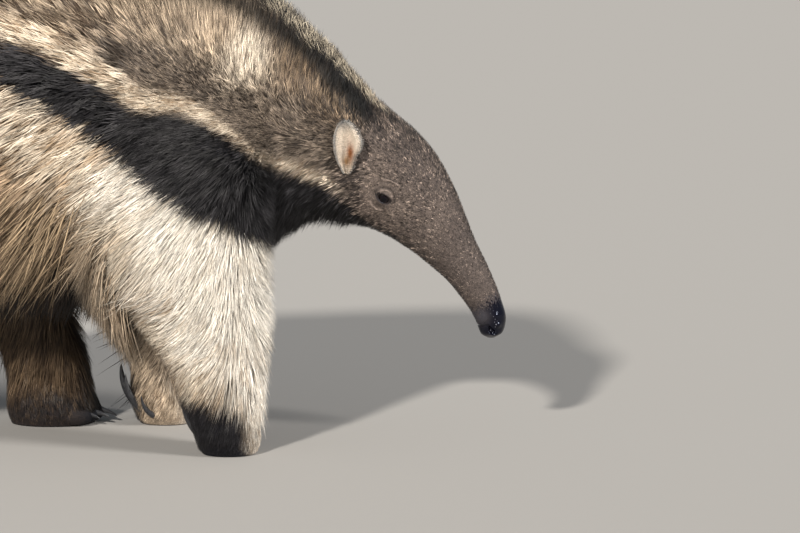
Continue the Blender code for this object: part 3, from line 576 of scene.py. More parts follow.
# %% Make the skin finer round the eyes
def refine(obj, centres, reach, cuts):
    shape = bmesh.new()
    shape.from_mesh(obj.data)
    chosen = [f for f in shape.faces if any((f.calc_center_median() - c).length < reach for c in centres)]
    edges = list({e for f in chosen for e in f.edges})
    bmesh.ops.subdivide_edges(shape, edges=edges, cuts=cuts, use_grid_fill=True)
    shape.to_mesh(obj.data)
    shape.free()
    print("refined", len(chosen), "faces")


refine(skin, [eye["place"] for eye in eyes.values()], FINE_REACH, 3)

# %% Shape the lids and the folds round the eye
# Each fold: its distance from the eye, where it starts and ends round it in degrees, its width and its
# height
EYE_FOLDS = [
    (0.0237, 74, 126, 0.0013, 0.0014), (0.0112, 40, 146, 0.0011, 0.001), (0.0172, 228, 298, 0.0015, 0.0013),
]
FOLD_FADE = 18


def near_eye(points, eye):
    """The places of points in the eye's own directions: along it, across it and off the face."""
    away = points - np.array(eye["place"])
    return away @ np.array(eye["long"]), away @ np.array(eye["high"]), away @ np.array(eye["normal"])


def folds_at(a, b):
    """How strongly each fold shows at places round the eye."""
    turn = np.degrees(np.arctan2(b, a)) % 360
    found = []
    for radius, start, end, wide, _ in EYE_FOLDS:
        fade = smooth((turn - start) / FOLD_FADE + 0.5) * smooth((end - turn) / FOLD_FADE + 0.5)
        found.append(fade * np.exp(-(((np.hypot(a, b) - radius) / wide) ** 2)))
    return found


def shape_lids(obj):
    points = points_of(obj)
    for eye in eyes.values():
        a, b, off = near_eye(points, eye)
        close = (np.hypot(a, b) < FINE_REACH) & (np.abs(off) < FACE_SLACK)
        a, b = a[close], b[close]
        ball_off = (eye["middle"] - eye["place"]).dot(eye["normal"])
        opening = np.hypot(a / OPEN_LONG, b / OPEN_HIGH)
        inner = 1 / np.maximum(opening, 1)
        ball_height = np.sqrt(np.maximum(EYE_RADIUS**2 - (a * inner) ** 2 - (b * inner) ** 2, 0))
        lid = ball_off + ball_height + LID_THICK + UPPER_LID_MORE * (b > 0)
        height = lid * (1 - smooth((opening - 1) / LID_REACH))
        height = np.where(opening < 1, lid - LID_DIVE * smooth((1 - opening) / LID_SOFT), height)
        for fold, strength in zip(EYE_FOLDS, folds_at(a, b)):
            height += fold[-1] * strength
        points[close] += np.array(eye["normal"]) * height[:, None]
    put_points(obj, points)


shape_lids(skin)

# %% [markdown]
# ## The snout's end
# The mouth is only a short slit at the very end of the snout, and above it each nostril is a small comma
# with lumps of bare skin round it. Both are pressed into the skin, because the rings lie about a millimetre
# apart there.

# %% Press in the mouth and the nostrils
MOUTH_HEIGHT, MOUTH_FRONT, MOUTH_DEPTH, MOUTH_HALF = 0.1440, 0.3640, 0.0015, 0.0008
NOSTRIL = np.array((0.3640, 0.1385))
NOSTRIL_LONG, NOSTRIL_WIDE, NOSTRIL_DEPTH = 0.0060, 0.0026, 0.0046
NOSTRIL_LEAN = math.radians(-55)
NOSTRIL_BEND, NOSTRIL_FLARE, NOSTRIL_RIM, NOSTRIL_GAP = 26, 70, 0.0007, 0.004
SNOUT_END, SNOUT_TOP, SNOUT_MIDDLE = 0.33, 0.18, 0.3640
MOUTH_SLANT, MOUTH_BEND, MOUTH_SOFT = 0.12, 0.350, 0.006
# Lumps of bare skin round the nostril: their places, how far they reach and how high they stand
NOSE_LUMPS = [
    (0.3715, 0.1455, 0.0042, 0.003), (0.362, 0.1345, 0.004, 0.0024), (0.369, 0.157, 0.0045, 0.0014),
]
NOSE_MIDDLE, NOSE_REACH = (0.366, 0.0, 0.146), 0.030


def shape_snout(obj):
    points = points_of(obj) - shift
    x, y, z = points.T
    tip = (x > SNOUT_END) & (z < SNOUT_TOP)
    inward = unit(np.stack([np.where(tip, SNOUT_MIDDLE - x, 0), -y, np.zeros(len(x))], 1))
    rise = z - MOUTH_HEIGHT - MOUTH_SLANT * np.maximum(x - MOUTH_BEND, 0)
    slit = np.exp(-((rise / MOUTH_HALF) ** 2)) * smooth((MOUTH_FRONT - x) / MOUTH_SOFT)
    dx, dz = x - NOSTRIL[0], z - NOSTRIL[1]
    along = dx * math.cos(NOSTRIL_LEAN) + dz * math.sin(NOSTRIL_LEAN)
    over = -dx * math.sin(NOSTRIL_LEAN) + dz * math.cos(NOSTRIL_LEAN) - NOSTRIL_BEND * along**2
    flare = NOSTRIL_WIDE * (1 + NOSTRIL_FLARE * np.maximum(along, -NOSTRIL_LONG))
    comma = np.hypot(along / NOSTRIL_LONG, over / flare)
    beside = np.abs(y) > NOSTRIL_GAP
    pit = smooth((1.35 - comma) / 0.7) * beside
    rim = NOSTRIL_RIM * np.exp(-(((comma - 1.5) / 0.3) ** 2)) * beside
    lumps = 0
    for lump_x, lump_z, reach, high in NOSE_LUMPS:
        lumps = lumps + high * np.exp(-(((x - lump_x) ** 2 + (z - lump_z) ** 2) / reach**2))
    push = slit * MOUTH_DEPTH + pit * NOSTRIL_DEPTH - rim - lumps * smooth((np.abs(y) - 0.002) / 0.004)
    points += inward * (push * tip)[:, None]
    put_points(obj, points + shift)
    print("pressed", int((push * tip > 0.0003).sum()), "points of the snout")


refine(skin, [Vector(NOSE_MIDDLE) + Vector(shift)], NOSE_REACH, 1)
shape_snout(skin)
skin_tree = tree_of(skin)
skin_points = points_of(skin)
skin_normals = np.empty(len(skin_points) * 3)
skin.data.vertices.foreach_get("normal", skin_normals)
skin_normals = skin_normals.reshape(-1, 3)
skin_places = KDTree(len(skin_points))
for k, p in enumerate(skin_points):
    skin_places.insert(p, k)
skin_places.balance()
print("skin:", len(skin_points), "points")

# %% [markdown]
# The same sleeves, drawn with no hair taken off, are the outline that the coat fills. How far that outline
# stands off each point of the skin is the room that the hair has there, so every tuft can be kept inside
# it.

# %% Measure the room for the hair
ROOM_MOST = {"trunk": 0.070, "tail": 0.200}
LEG_ROOM = 0.028
ROOM_ROUNDS = 6


def measure_room():
    shells = {"trunk": trunk_sleeve(0), "tail": tail_sleeve(0, len(TAIL) - 1.0)}
    shells.update({name: leg_sleeve(name, 0) for name in LEGS})
    trees = {name: BVHTree.FromPolygons(points.tolist(), faces) for name, (points, faces) in shells.items()}
    found = np.zeros(len(skin_points))
    for name, tree in trees.items():
        most = ROOM_MOST.get(name, LEG_ROOM)
        for k, (p, n) in enumerate(zip(skin_points, skin_normals)):
            _, normal, _, gap = tree.ray_cast(Vector(p), Vector(n), 0.3)
            if gap is not None and normal.dot(Vector(n)) > 0:
                found[k] = max(found[k], min(gap, most))
    return relax(found[:, None], edges_of(skin), np.full(len(found), 0.5), ROOM_ROUNDS)[:, 0]


room = measure_room()
print("room for hair, in mm:", np.percentile(room * 1000, (5, 50, 95)).round(1))

# %% [markdown]
# ## The markings
# The coat's markings are drawn on a side view of the animal, seen from its right and a little from above,
# with 1.25 mm to a step. The same drawing is used for the left side. A black band with a pale upper edge
# runs from the throat over the shoulder to a point on the back. A black line lies inside the crest. The
# hollow behind the elbow is painted near black, for dark belly hair and for painted shade where the shadow
# falls there. The rest is a blend between patches of a few named colours. Hair of two colours grows in each
# patch, a darker and a lighter one, and the last number says how much of it is the lighter one.

# %% Draw the markings
STEP = 0.00125
INK, SOOT, UMBER = (0.006, 0.0055, 0.007), (0.024, 0.022, 0.026), (0.050, 0.031, 0.019)
BARK, BROWN, TAN = (0.080, 0.055, 0.038), (0.170, 0.115, 0.070), (0.420, 0.300, 0.195)
SAND, CREAM, MILK = (0.600, 0.475, 0.350), (0.800, 0.700, 0.570), (0.950, 0.895, 0.810)
MOUSE, ASH = (0.045, 0.034, 0.028), (0.300, 0.240, 0.190)
CREST_TIP, HONEY = (0.920, 0.790, 0.600), (0.420, 0.310, 0.200)
SLATE, FROST, COAL = (0.013, 0.010, 0.010), (0.250, 0.196, 0.164), (0.060, 0.057, 0.062)
BAND_TOP = [
    (-190, 24), (-120, 20), (-60, 25), (0, 38), (40, 51), (80, 74), (103, 87), (123, 101), (145, 112),
    (180, 113), (207, 123), (232, 139), (250, 156), (268, 165), (297, 171), (330, 187), (345, 200),
    (363, 217), (389, 232), (410, 240),
]
BAND_LOW = [
    (-190, 24), (-120, 38), (-60, 57), (0, 79), (20, 93), (66, 116), (93, 135), (116, 149), (139, 168),
    (150, 180), (172, 202), (197, 217), (229, 229), (243, 238), (262, 241), (274, 244), (282, 400),
    (410, 400),
]
BAND_SOFT, BAND_END, BAND_END_SOFT, BAND_SHARE = 4.0, 402, 8, 0.26
STRIPE_SOFT, STRIPE_FULL, STRIPE_LIGHT, STRIPE_DARK, STRIPE_SHARE = 4, 0.7, 0.9, 0.7, 0.52
STRIPE_START, STRIPE_START_SOFT, STRIPE_END, STRIPE_END_SOFT = -120, 90, 354, 36
STRIPE_WIDE = [(0, 17), (120, 20), (200, 13), (260, 9), (360, 10)]
# The top of the nape and back on the side view, and how far in from it the crest's black line lies
NAPE = [
    (-50, -58), (150, -58), (205, -50), (250, -32), (285, -6), (315, 22), (345, 52), (375, 86), (398, 110),
    (418, 128),
]
CREST_LINE, CREST_HALF, NAPE_SLOPE = 25.0, 11.5, 0.75
CREST_FROM, CREST_RISE, CREST_TO, CREST_FALL = 60, 120, 388, 25
PATCHES = [
    (-10, -10, UMBER, SAND, 0.26), (60, 15, UMBER, SAND, 0.25), (150, 15, UMBER, SAND, 0.42),
    (215, 35, BARK, SAND, 0.58), (245, 62, BARK, CREAM, 0.56), (130, 70, MOUSE, ASH, 0.37),
    (190, 85, MOUSE, ASH, 0.32), (235, 115, MOUSE, ASH, 0.44), (290, 120, MOUSE, ASH, 0.48),
    (320, 155, MOUSE, ASH, 0.5), (300, 70, BARK, TAN, 0.33), (325, 65, MOUSE, TAN, 0.23),
    (352, 98, SLATE, TAN, 0.28), (285, 30, MOUSE, TAN, 0.28), (390, 135, SLATE, FROST, 0.34),
    (360, 150, SLATE, FROST, 0.54), (375, 205, SLATE, FROST, 0.62), (425, 175, SLATE, FROST, 0.32),
    (430, 225, SLATE, FROST, 0.4), (455, 240, SLATE, FROST, 0.3), (480, 290, SLATE, FROST, 0.3),
    (470, 270, SLATE, FROST, 0.3), (410, 150, SLATE, FROST, 0.28), (350, 190, SLATE, FROST, 0.5),
    (-80, -20, BARK, SAND, 0.45), (-180, -10, UMBER, TAN, 0.45), (-280, 20, UMBER, TAN, 0.38),
    (-370, 80, UMBER, BROWN, 0.45), (20, 130, BROWN, CREAM, 0.49), (75, 160, TAN, CREAM, 0.56),
    (125, 190, SAND, MILK, 0.8), (170, 232, CREAM, MILK, 0.8), (210, 250, CREAM, MILK, 0.8),
    (245, 275, CREAM, MILK, 0.82), (15, 180, BROWN, TAN, 0.58), (60, 215, BROWN, SAND, 0.58),
    (10, 240, UMBER, TAN, 0.58), (95, 240, TAN, CREAM, 0.55), (60, 275, UMBER, TAN, 0.45),
    (15, 300, INK, BROWN, 0.35), (95, 300, INK, BARK, 0.3), (50, 340, INK, BARK, 0.35),
    (120, 230, SAND, CREAM, 0.75), (-80, 90, BARK, TAN, 0.5), (-80, 180, UMBER, TAN, 0.45),
    (-80, 280, INK, BROWN, 0.35), (-180, 120, UMBER, TAN, 0.38), (-180, 240, INK, BROWN, 0.32),
    (-300, 150, UMBER, BROWN, 0.42), (-300, 260, INK, BARK, 0.4), (-380, 170, UMBER, BROWN, 0.35),
]


def side_view(points):
    """Where points of the drawing lie on the side view, in steps to the right and down."""
    away = np.stack([points[:, 0], -np.abs(points[:, 1]), points[:, 2]], 1) - AIM
    near = CAMERA_DISTANCE + away[:, 1] * math.cos(CAMERA_RISE) - away[:, 2] * math.sin(CAMERA_RISE)
    high = away[:, 1] * math.sin(CAMERA_RISE) + away[:, 2] * math.cos(CAMERA_RISE)
    scale = CAMERA_DISTANCE / near / STEP
    return PHOTO_WIDTH / 2 + away[:, 0] * scale, PHOTO_HEIGHT / 2 - high * scale


def blend(places, marks, values, power=4, least=6.0):
    """Values at places, each blended from all the marks by how near they are."""
    gaps = np.linalg.norm(places[:, None] - marks[None], axis=2) + least
    weight = gaps**-power
    return weight @ values / weight.sum(1)[:, None]


def crest_share(across, down):
    """How much places on the side view lie on the black line inside the crest."""
    inside = (down - np.interp(across, *np.array(NAPE, float).T)) * NAPE_SLOPE
    line = np.exp(-(((inside - CREST_LINE) / CREST_HALF) ** 2))
    return line * smooth((across - CREST_FROM) / CREST_RISE) * smooth((CREST_TO - across) / CREST_FALL)


# Painted shade: the hollow behind the elbow, darkened for the shadow that falls there
HOLLOW_ACROSS, HOLLOW_HALF, HOLLOW_TOP, HOLLOW_SOFT, ELBOW_SHADE_DARK = 88.0, 12.0, 252.0, 25.0, 0.93


def elbow_shade_share(points):
    """How much points of the drawing lie in the hollow between the flank and the elbow, where shade is
    painted.
    """
    across, down = side_view(points)
    beside = np.exp(-(((across - HOLLOW_ACROSS) / HOLLOW_HALF) ** 2))
    return beside * smooth((down - HOLLOW_TOP) / HOLLOW_SOFT)


PATCH_PLACES = np.array([patch[:2] for patch in PATCHES], float)
PATCH_VALUES = np.array([(*dark, *light, share) for _, _, dark, light, share in PATCHES])


def pelt_at(points, loose):
    """The dark colour, the light colour and the light one's share at points of the drawing.

    Loose moves each point's edges of the band a little, so that they aren't cut sharp.
    """
    across, down = side_view(points)
    found = blend(np.stack([across, down], 1), PATCH_PLACES, PATCH_VALUES)
    dark, light, share = found[:, 0:3].copy(), found[:, 3:6].copy(), found[:, 6].copy()
    top = np.interp(across, *np.array(BAND_TOP, float).T) + loose
    low = np.interp(across, *np.array(BAND_LOW, float).T) + loose
    ahead = smooth((BAND_END - across) / BAND_END_SOFT)
    wide = np.interp(across, *np.array(STRIPE_WIDE, float).T)
    stripe = smooth((top - down) / STRIPE_SOFT) * (1 - smooth((top - down - wide * STRIPE_FULL) / wide))
    ends = smooth((STRIPE_END - across) / STRIPE_END_SOFT)
    stripe *= ends * smooth((across - STRIPE_START) / STRIPE_START_SOFT)
    crest = crest_share(across, down + loose)
    dark += (np.array(INK) - dark) * crest[:, None]
    light += (np.array(SOOT) - light) * crest[:, None]
    light += (np.array(CREAM) - light) * stripe[:, None] * STRIPE_LIGHT
    dark += (np.array(TAN) - dark) * stripe[:, None] * STRIPE_DARK
    share += (STRIPE_SHARE - share) * stripe
    band = smooth((down - top) / BAND_SOFT) * smooth((low - down) / BAND_SOFT) * ahead
    dark += (np.array(INK) - dark) * band[:, None]
    light += (np.array(COAL) - light) * band[:, None]
    share += (BAND_SHARE - share) * band
    return dark, light, share


print(len(PATCHES), "patches of colour")

# %% [markdown]
# The legs have markings of their own, by how far down a leg and how far round it a hair grows. A foreleg is
# milk white outside and in front, browner behind and inside, and black from the wrist down but for its
# front edge and its inner side. The hind legs are nearly black, and browner inside. The tail is dark brown
# with paler tips.

# %% Markings of the legs and the tail
# Down the leg, degrees round it from its outer side over its rear, then the two colours and the lighter
# one's share
FORELEG_PATCHES = [
    (1.0, 0, SAND, MILK, 0.8), (1.0, -90, SAND, MILK, 0.8), (3.0, -90, CREAM, MILK, 0.88),
    (3.0, -30, CREAM, MILK, 0.85), (3.0, 20, TAN, MILK, 0.62), (2.0, 60, BROWN, SAND, 0.55),
    (3.0, 75, UMBER, TAN, 0.55), (4.0, 60, BROWN, CREAM, 0.5), (4.2, 0, SAND, MILK, 0.8),
    (4.8, -60, SAND, MILK, 0.85), (5.2, 20, TAN, CREAM, 0.7), (5.0, 90, UMBER, TAN, 0.5),
    (2.0, 180, BROWN, SAND, 0.6), (4.0, 180, BROWN, SAND, 0.8), (5.0, 180, BROWN, SAND, 0.8),
    (6.3, 0, INK, SOOT, 0.3), (6.2, 90, INK, UMBER, 0.4), (6.3, 180, BROWN, SAND, 0.7),
    (8.0, 180, BROWN, SAND, 0.7), (8.5, 0, INK, SOOT, 0.3), (5.7, -80, SAND, MILK, 0.7),
    (8.0, -90, TAN, MILK, 0.6), (5.9, 10, INK, SOOT, 0.3), (3.0, 130, UMBER, TAN, 0.4),
]
HINDLEG_PATCHES = [
    (0.5, 0, UMBER, BROWN, 0.4), (2.0, 0, UMBER, BROWN, 0.35), (3.5, 0, INK, BROWN, 0.35),
    (5.5, 0, INK, BARK, 0.45), (2.0, 180, UMBER, TAN, 0.27), (5.0, 180, UMBER, BROWN, 0.5),
    (8.0, 0, INK, SOOT, 0.4), (3.0, 90, UMBER, BROWN, 0.4), (8.0, 180, INK, BARK, 0.4),
]
TAIL_PATCHES = [
    (0.5, 90, UMBER, BROWN, 0.42), (4.0, 90, UMBER, TAN, 0.4), (8.0, 90, UMBER, BROWN, 0.5),
    (1.0, -60, INK, BARK, 0.4), (4.0, -60, UMBER, BROWN, 0.35), (8.0, -60, UMBER, BROWN, 0.4),
    (4.0, 0, INK, BROWN, 0.3), (7.0, 0, UMBER, BROWN, 0.4),
]
# Where the leg's own markings begin, and where down the foreleg the black of the wrist does, outside and
# behind
LEG_TOP, LEG_BLEND = 0.245, 0.040
WRIST_TOP, WRIST_SOFT = 5.3, 0.35
WRIST_FRONT, WRIST_FRONT_SOFT, WRIST_BACK, WRIST_BACK_SOFT = -46, 20, 110, 30
# How far apart, in sections, the two sides of a form are for a blend, and the least distance that counts
# there
ROUND_SCALE, LOCAL_LEAST = 1.4, 0.15


def round_places(u, degrees):
    """Places along and round a form, as points whose distances can be blended by."""
    turn = np.radians(degrees)
    return np.stack([u, np.cos(turn) * ROUND_SCALE, np.sin(turn) * ROUND_SCALE], 1)


def blend_local(rows, values, u, degrees):
    """As blend, for rows that begin with their own place along and round the form."""
    marks = np.array([row[:2] for row in rows], float)
    return blend(round_places(u, degrees), round_places(*marks.T), values, least=LOCAL_LEAST)


def local_pelt(patches, u, round_degrees):
    """Colours blended from patches that are placed along and round a form."""
    turn = np.abs((round_degrees + 180) % 360 - 180) if patches is TAIL_PATCHES else round_degrees
    values = np.array([(*dark, *light, share) for _, _, dark, light, share in patches])
    found = blend_local(patches, values, u, turn)
    dark, light, share = found[:, 0:3], found[:, 3:6], found[:, 6]
    if patches is FORELEG_PATCHES:
        wrist = smooth((u - WRIST_TOP) / WRIST_SOFT) * smooth((turn - WRIST_FRONT) / WRIST_FRONT_SOFT)
        wrist = wrist * (1 - smooth((turn - WRIST_BACK) / WRIST_BACK_SOFT))
        dark = dark + (np.array(INK) - dark) * wrist[:, None]
        light = light + (np.array(SOOT) - light) * wrist[:, None]
    return dark, light, share


def leg_patches(name):
    return FORELEG_PATCHES if name.startswith("fore") else HINDLEG_PATCHES


def leg_share(points):
    """How much a leg's own markings and comb count at its points, against the body's."""
    return smooth((LEG_TOP - points[:, 2]) / LEG_BLEND)


def outer_degrees(name, degrees):
    """Turns the angle round a leg so that 0 is its outer side and 180 its inner side, on both sides."""
    turned = degrees if side_of(name) > 0 else 180 - degrees
    return (turned + 180) % 360 - 180


# %% [markdown]
# ## The lie of the hair
# Hair doesn't all point one way. It runs back up the snout, fans upward from a whorl on the shoulder into
# the crest, lies back and down over the band and the flank, and hangs down the chest and the front of the
# foreleg. Each stroke of the comb here gives a place on the side view, the way the hair points there
# (forward, up, outward) and its length in millimetres. Every root takes a blend of the strokes near it.

# %% Comb the trunk
TRUNK_COMB = [
    (497, 300, -0.35, 0.93, 0.05, 2.6), (465, 235, -0.42, 0.9, 0.05, 4), (445, 255, -0.6, 0.8, 0.05, 4),
    (430, 180, -0.6, 0.8, 0.05, 6), (420, 235, -0.85, 0.5, 0.1, 6), (400, 150, -0.75, 0.65, 0.1, 8),
    (385, 112, -0.65, 0.75, 0.1, 12), (385, 165, -0.9, 0.4, 0.15, 7),
    (362, 200, -0.97, -0.05, 0.15, 9), (395, 215, -0.95, 0.25, 0.1, 7),
    (350, 100, -0.2, 0.95, 0.25, 18), (365, 90, 0.1, 0.98, 0.1, 22), (335, 55, 0.45, 0.88, 0.1, 34),
    (300, 20, 0.35, 0.93, 0.1, 46), (255, -5, 0.15, 0.98, 0.1, 50), (320, 130, -0.6, 0.2, 0.6, 16),
    (285, 115, -0.4, 0.45, 0.65, 20), (330, 170, -0.85, -0.15, 0.45, 17),
    (300, 80, 0.15, 0.9, 0.4, 28), (250, 55, 0.15, 0.93, 0.35, 34), (205, 25, -0.1, 0.95, 0.35, 38),
    (150, 12, -0.45, 0.85, 0.35, 38), (95, 8, -0.7, 0.65, 0.3, 38), (45, 10, -0.88, 0.45, 0.25, 40),
    (-10, 5, -0.93, 0.3, 0.2, 48), (200, 75, -0.25, 0.35, 0.9, 21), (150, 72, -0.65, 0.4, 0.6, 25),
    (240, 105, -0.2, 0.25, 0.9, 20), (100, 60, -0.85, 0.4, 0.35, 30), (60, 60, -0.93, 0.25, 0.25, 32),
    (120, 98, -0.93, 0.15, 0.35, 27), (178, 110, -0.8, 0.05, 0.6, 23),
    (228, 132, -0.75, -0.1, 0.65, 20), (270, 158, -0.8, -0.15, 0.55, 20),
    (310, 182, -0.85, -0.3, 0.4, 20), (20, 75, -0.92, -0.35, 0.15, 38),
    (80, 108, -0.9, -0.42, 0.15, 36), (140, 148, -0.86, -0.5, 0.15, 34),
    (200, 180, -0.76, -0.64, 0.15, 32), (240, 205, -0.52, -0.85, 0.15, 30),
    (270, 200, -0.48, -0.87, 0.15, 30), (300, 205, -0.38, -0.92, 0.1, 30),
    (340, 212, -0.42, -0.9, 0.1, 24), (372, 230, -0.65, -0.72, 0.1, 14),
    (402, 242, -0.85, -0.1, 0.1, 7), (262, 242, -0.25, -0.96, 0.1, 38),
    (282, 232, -0.2, -0.98, 0.05, 36), (40, 122, -0.88, -0.47, 0.15, 46),
    (100, 160, -0.83, -0.55, 0.15, 44), (150, 200, -0.76, -0.65, 0.15, 42),
    (200, 240, -0.6, -0.8, 0.15, 40), (240, 262, -0.28, -0.96, 0.1, 40),
    (60, 200, -0.66, -0.75, 0.12, 70), (15, 165, -0.8, -0.6, 0.15, 62),
    (5, 235, -0.5, -0.86, 0.1, 105), (95, 240, -0.52, -0.85, 0.12, 58),
    (75, 290, -0.38, -0.92, 0.08, 85), (20, 300, -0.28, -0.96, 0.05, 128),
    (50, 350, -0.35, -0.93, 0.0, 115), (-70, 100, -0.88, -0.46, 0.15, 72),
    (-70, 200, -0.72, -0.69, 0.1, 100), (-70, 300, -0.5, -0.86, 0.05, 115),
    (-170, 100, -0.88, -0.46, 0.15, 85), (-170, 200, -0.75, -0.66, 0.1, 108),
    (-170, 300, -0.58, -0.8, 0.05, 115), (-270, 90, -0.84, -0.54, 0.12, 92),
    (-270, 190, -0.76, -0.65, 0.1, 105), (-270, 280, -0.62, -0.78, 0.05, 105),
    (-360, 70, -0.76, -0.64, 0.12, 98), (-370, 150, -0.8, -0.6, 0.08, 98),
    (-370, 240, -0.7, -0.7, 0.05, 95), (60, -35, -0.7, 0.72, 0.08, 58),
    (150, -35, -0.35, 0.94, 0.08, 56), (-50, -50, -0.86, 0.5, 0.08, 68),
    (-150, -50, -0.91, 0.4, 0.08, 80), (-250, -25, -0.95, 0.28, 0.08, 92),
    (-340, 25, -0.96, 0.0, 0.08, 100), (-400, 90, -0.88, -0.35, 0.08, 108),
    (-100, 20, -0.94, 0.1, 0.2, 62), (-200, 25, -0.94, -0.05, 0.2, 75),
    (-300, 50, -0.9, -0.3, 0.18, 88),
]
TRUNK_COMB_PLACES = np.array([stroke[:2] for stroke in TRUNK_COMB], float)
TRUNK_COMB_VALUES = np.array([stroke[2:] for stroke in TRUNK_COMB])


def comb_trunk(points):
    """The way that hair points at points of the drawing, and its length."""
    found = blend(np.stack(side_view(points), 1), TRUNK_COMB_PLACES, TRUNK_COMB_VALUES)
    outward = np.where(points[:, 1] < 0, -1.0, 1.0) * smooth(np.abs(points[:, 1]) / 0.03)
    return np.stack([found[:, 0], found[:, 2] * outward, found[:, 1]], 1), found[:, 3] / 1000


# %% Comb the legs and the tail
# Down the form, degrees round it, then forward, up and outward, and the length in millimetres
FORELEG_COMB = [
    (0.5, 0, -0.7, -0.68, 0.1, 40), (0.5, -90, -0.2, -0.95, 0.1, 40), (2.0, -90, -0.05, -1.0, 0.1, 40),
    (2.0, -45, -0.3, -0.92, 0.1, 40), (2.0, 0, -0.8, -0.55, 0.1, 40), (2.0, 50, -0.75, -0.65, 0.1, 48),
    (2.5, 80, -0.14, -0.98, 0.0, 66), (3.2, -90, 0.05, -1.0, 0.1, 40), (3.2, -50, -0.1, -0.98, 0.1, 40),
    (3.2, -15, -0.55, -0.8, 0.1, 38), (3.2, 15, -0.93, -0.3, 0.1, 38), (3.2, 55, -0.85, -0.5, 0.1, 46),
    (3.2, 90, -0.12, -0.98, 0.0, 58), (4.3, -90, 0.05, -1.0, 0.1, 40), (4.3, -45, -0.12, -0.97, 0.1, 38),
    (4.3, 0, -0.75, -0.6, 0.1, 34), (4.3, 45, -0.9, -0.4, 0.1, 36), (4.3, 90, -0.45, -0.88, 0.0, 30),
    (5.3, -90, 0.05, -1.0, 0.1, 46), (5.3, -30, -0.15, -0.97, 0.1, 40), (5.3, 30, -0.6, -0.8, 0.1, 30),
    (5.3, 90, -0.6, -0.8, 0.0, 28), (6.3, -60, 0.0, -1.0, 0.1, 26), (6.3, 30, -0.4, -0.9, 0.1, 20),
    (8.0, 0, -0.2, -0.95, 0.2, 11), (8.0, -90, 0.2, -0.95, 0.0, 11), (3.0, 180, -0.35, -0.93, 0.0, 28),
    (5.0, 180, -0.6, -0.78, 0.0, 24), (7.0, 180, -0.5, -0.85, 0.0, 14), (3.0, 130, -0.5, -0.85, 0.0, 36),
]
HINDLEG_COMB = [
    (0.5, 0, -0.75, -0.65, 0.1, 70), (0.5, -90, -0.45, -0.88, 0.1, 70), (2.0, 0, -0.55, -0.83, 0.1, 62),
    (2.0, 90, -0.7, -0.7, 0.0, 66), (2.0, -90, -0.3, -0.95, 0.1, 60), (3.5, 0, -0.45, -0.88, 0.1, 50),
    (3.5, 90, -0.5, -0.85, 0.0, 54), (3.5, -90, -0.25, -0.96, 0.1, 48), (5.5, 0, -0.25, -0.95, 0.1, 34),
    (5.5, 90, -0.3, -0.93, 0.0, 34), (5.5, -90, 0.0, -1.0, 0.1, 30), (7.5, 0, 0.3, -0.9, 0.2, 15),
    (8.5, -90, 0.7, -0.6, 0.0, 11), (3.0, 180, -0.3, -0.95, 0.0, 34), (7.0, 180, 0.2, -0.95, 0.0, 14),
]
TAIL_COMB = [
    (0.5, 90, -0.98, 0.05, 0.1, 85), (0.5, 0, -0.88, -0.45, 0.1, 110), (0.5, -80, -0.6, -0.8, 0.0, 120),
    (3.0, 90, -0.98, -0.1, 0.2, 130), (3.0, 0, -0.62, -0.76, 0.1, 210), (3.0, -80, -0.6, -0.8, 0.0, 210),
    (6.0, 90, -0.97, -0.25, 0.2, 140), (6.0, 0, -0.72, -0.68, 0.1, 200), (6.0, -80, -0.7, -0.72, 0.0, 190),
    (8.4, 90, -0.9, -0.5, 0.1, 110), (8.4, 0, -0.85, -0.55, 0.1, 130), (8.4, -80, -0.85, -0.55, 0.0, 130),
]


def comb_local(strokes, u, round_degrees, side):
    """As comb_trunk, for strokes that are placed along and round a form."""
    values = np.array([stroke[2:] for stroke in strokes], float)
    found = blend_local(strokes, values, u, round_degrees)
    outward = side * np.cos(np.radians(round_degrees))
    return np.stack([found[:, 0], found[:, 2] * outward, found[:, 1]], 1), found[:, 3] / 1000


# %% [markdown]
# ## Roots
# A root is a place along and round a sleeve. Places are drawn at random in proportion to the sleeve's own
# area, with more of them where hair is short, and each is then put on the joined skin. A root that falls
# inside another sleeve, such as the trunk's skin behind a shoulder, is dropped.

# %% Scatter roots over a sleeve
ROOT_SLACK = 0.010
GRID_ALONG, GRID_ROUND = 360, 180


def scatter(point_at, start, end, wanted, keep, richness):
    """Roots on one sleeve: places along and round it, and their points and normals on the skin."""
    u_edges = np.linspace(start, end, GRID_ALONG + 1)
    turn_edges = np.linspace(-180, 180, GRID_ROUND + 1)
    uu, tt = np.meshgrid(u_edges, turn_edges, indexing="ij")
    grid = point_at(uu.ravel(), tt.ravel()).reshape(GRID_ALONG + 1, GRID_ROUND + 1, 3)
    one, other = grid[1:, 1:] - grid[:-1, :-1], grid[1:, :-1] - grid[:-1, 1:]
    area = np.linalg.norm(np.cross(one, other), axis=2) / 2
    mid_u, mid_t = (uu[1:, 1:] + uu[:-1, :-1]) / 2, (tt[1:, 1:] + tt[:-1, :-1]) / 2
    middles = (grid[1:, 1:] + grid[:-1, :-1]).reshape(-1, 3) / 2
    weight = area.ravel() * keep(mid_u.ravel(), mid_t.ravel(), middles)
    weight = weight * richness(middles, mid_u.ravel(), mid_t.ravel())
    u, t, points, normals = [], [], [], []
    while len(u) < wanted:
        cell = dice.choice(len(weight), size=int(wanted * 0.8), p=weight / weight.sum())
        us = mid_u.ravel()[cell] + (dice.random(len(cell)) - 0.5) * (end - start) / GRID_ALONG
        ts = mid_t.ravel()[cell] + (dice.random(len(cell)) - 0.5) * 360 / GRID_ROUND
        for a, b, place in zip(us, ts, point_at(us, ts) + shift):
            found, normal, _, gap = skin_tree.find_nearest(Vector(place), ROOT_SLACK)
            if found is not None:
                u.append(a)
                t.append(b)
                points.append(found)
                normals.append(normal)
    return tuple(np.array(found)[:wanted] for found in (u, t, points, normals))


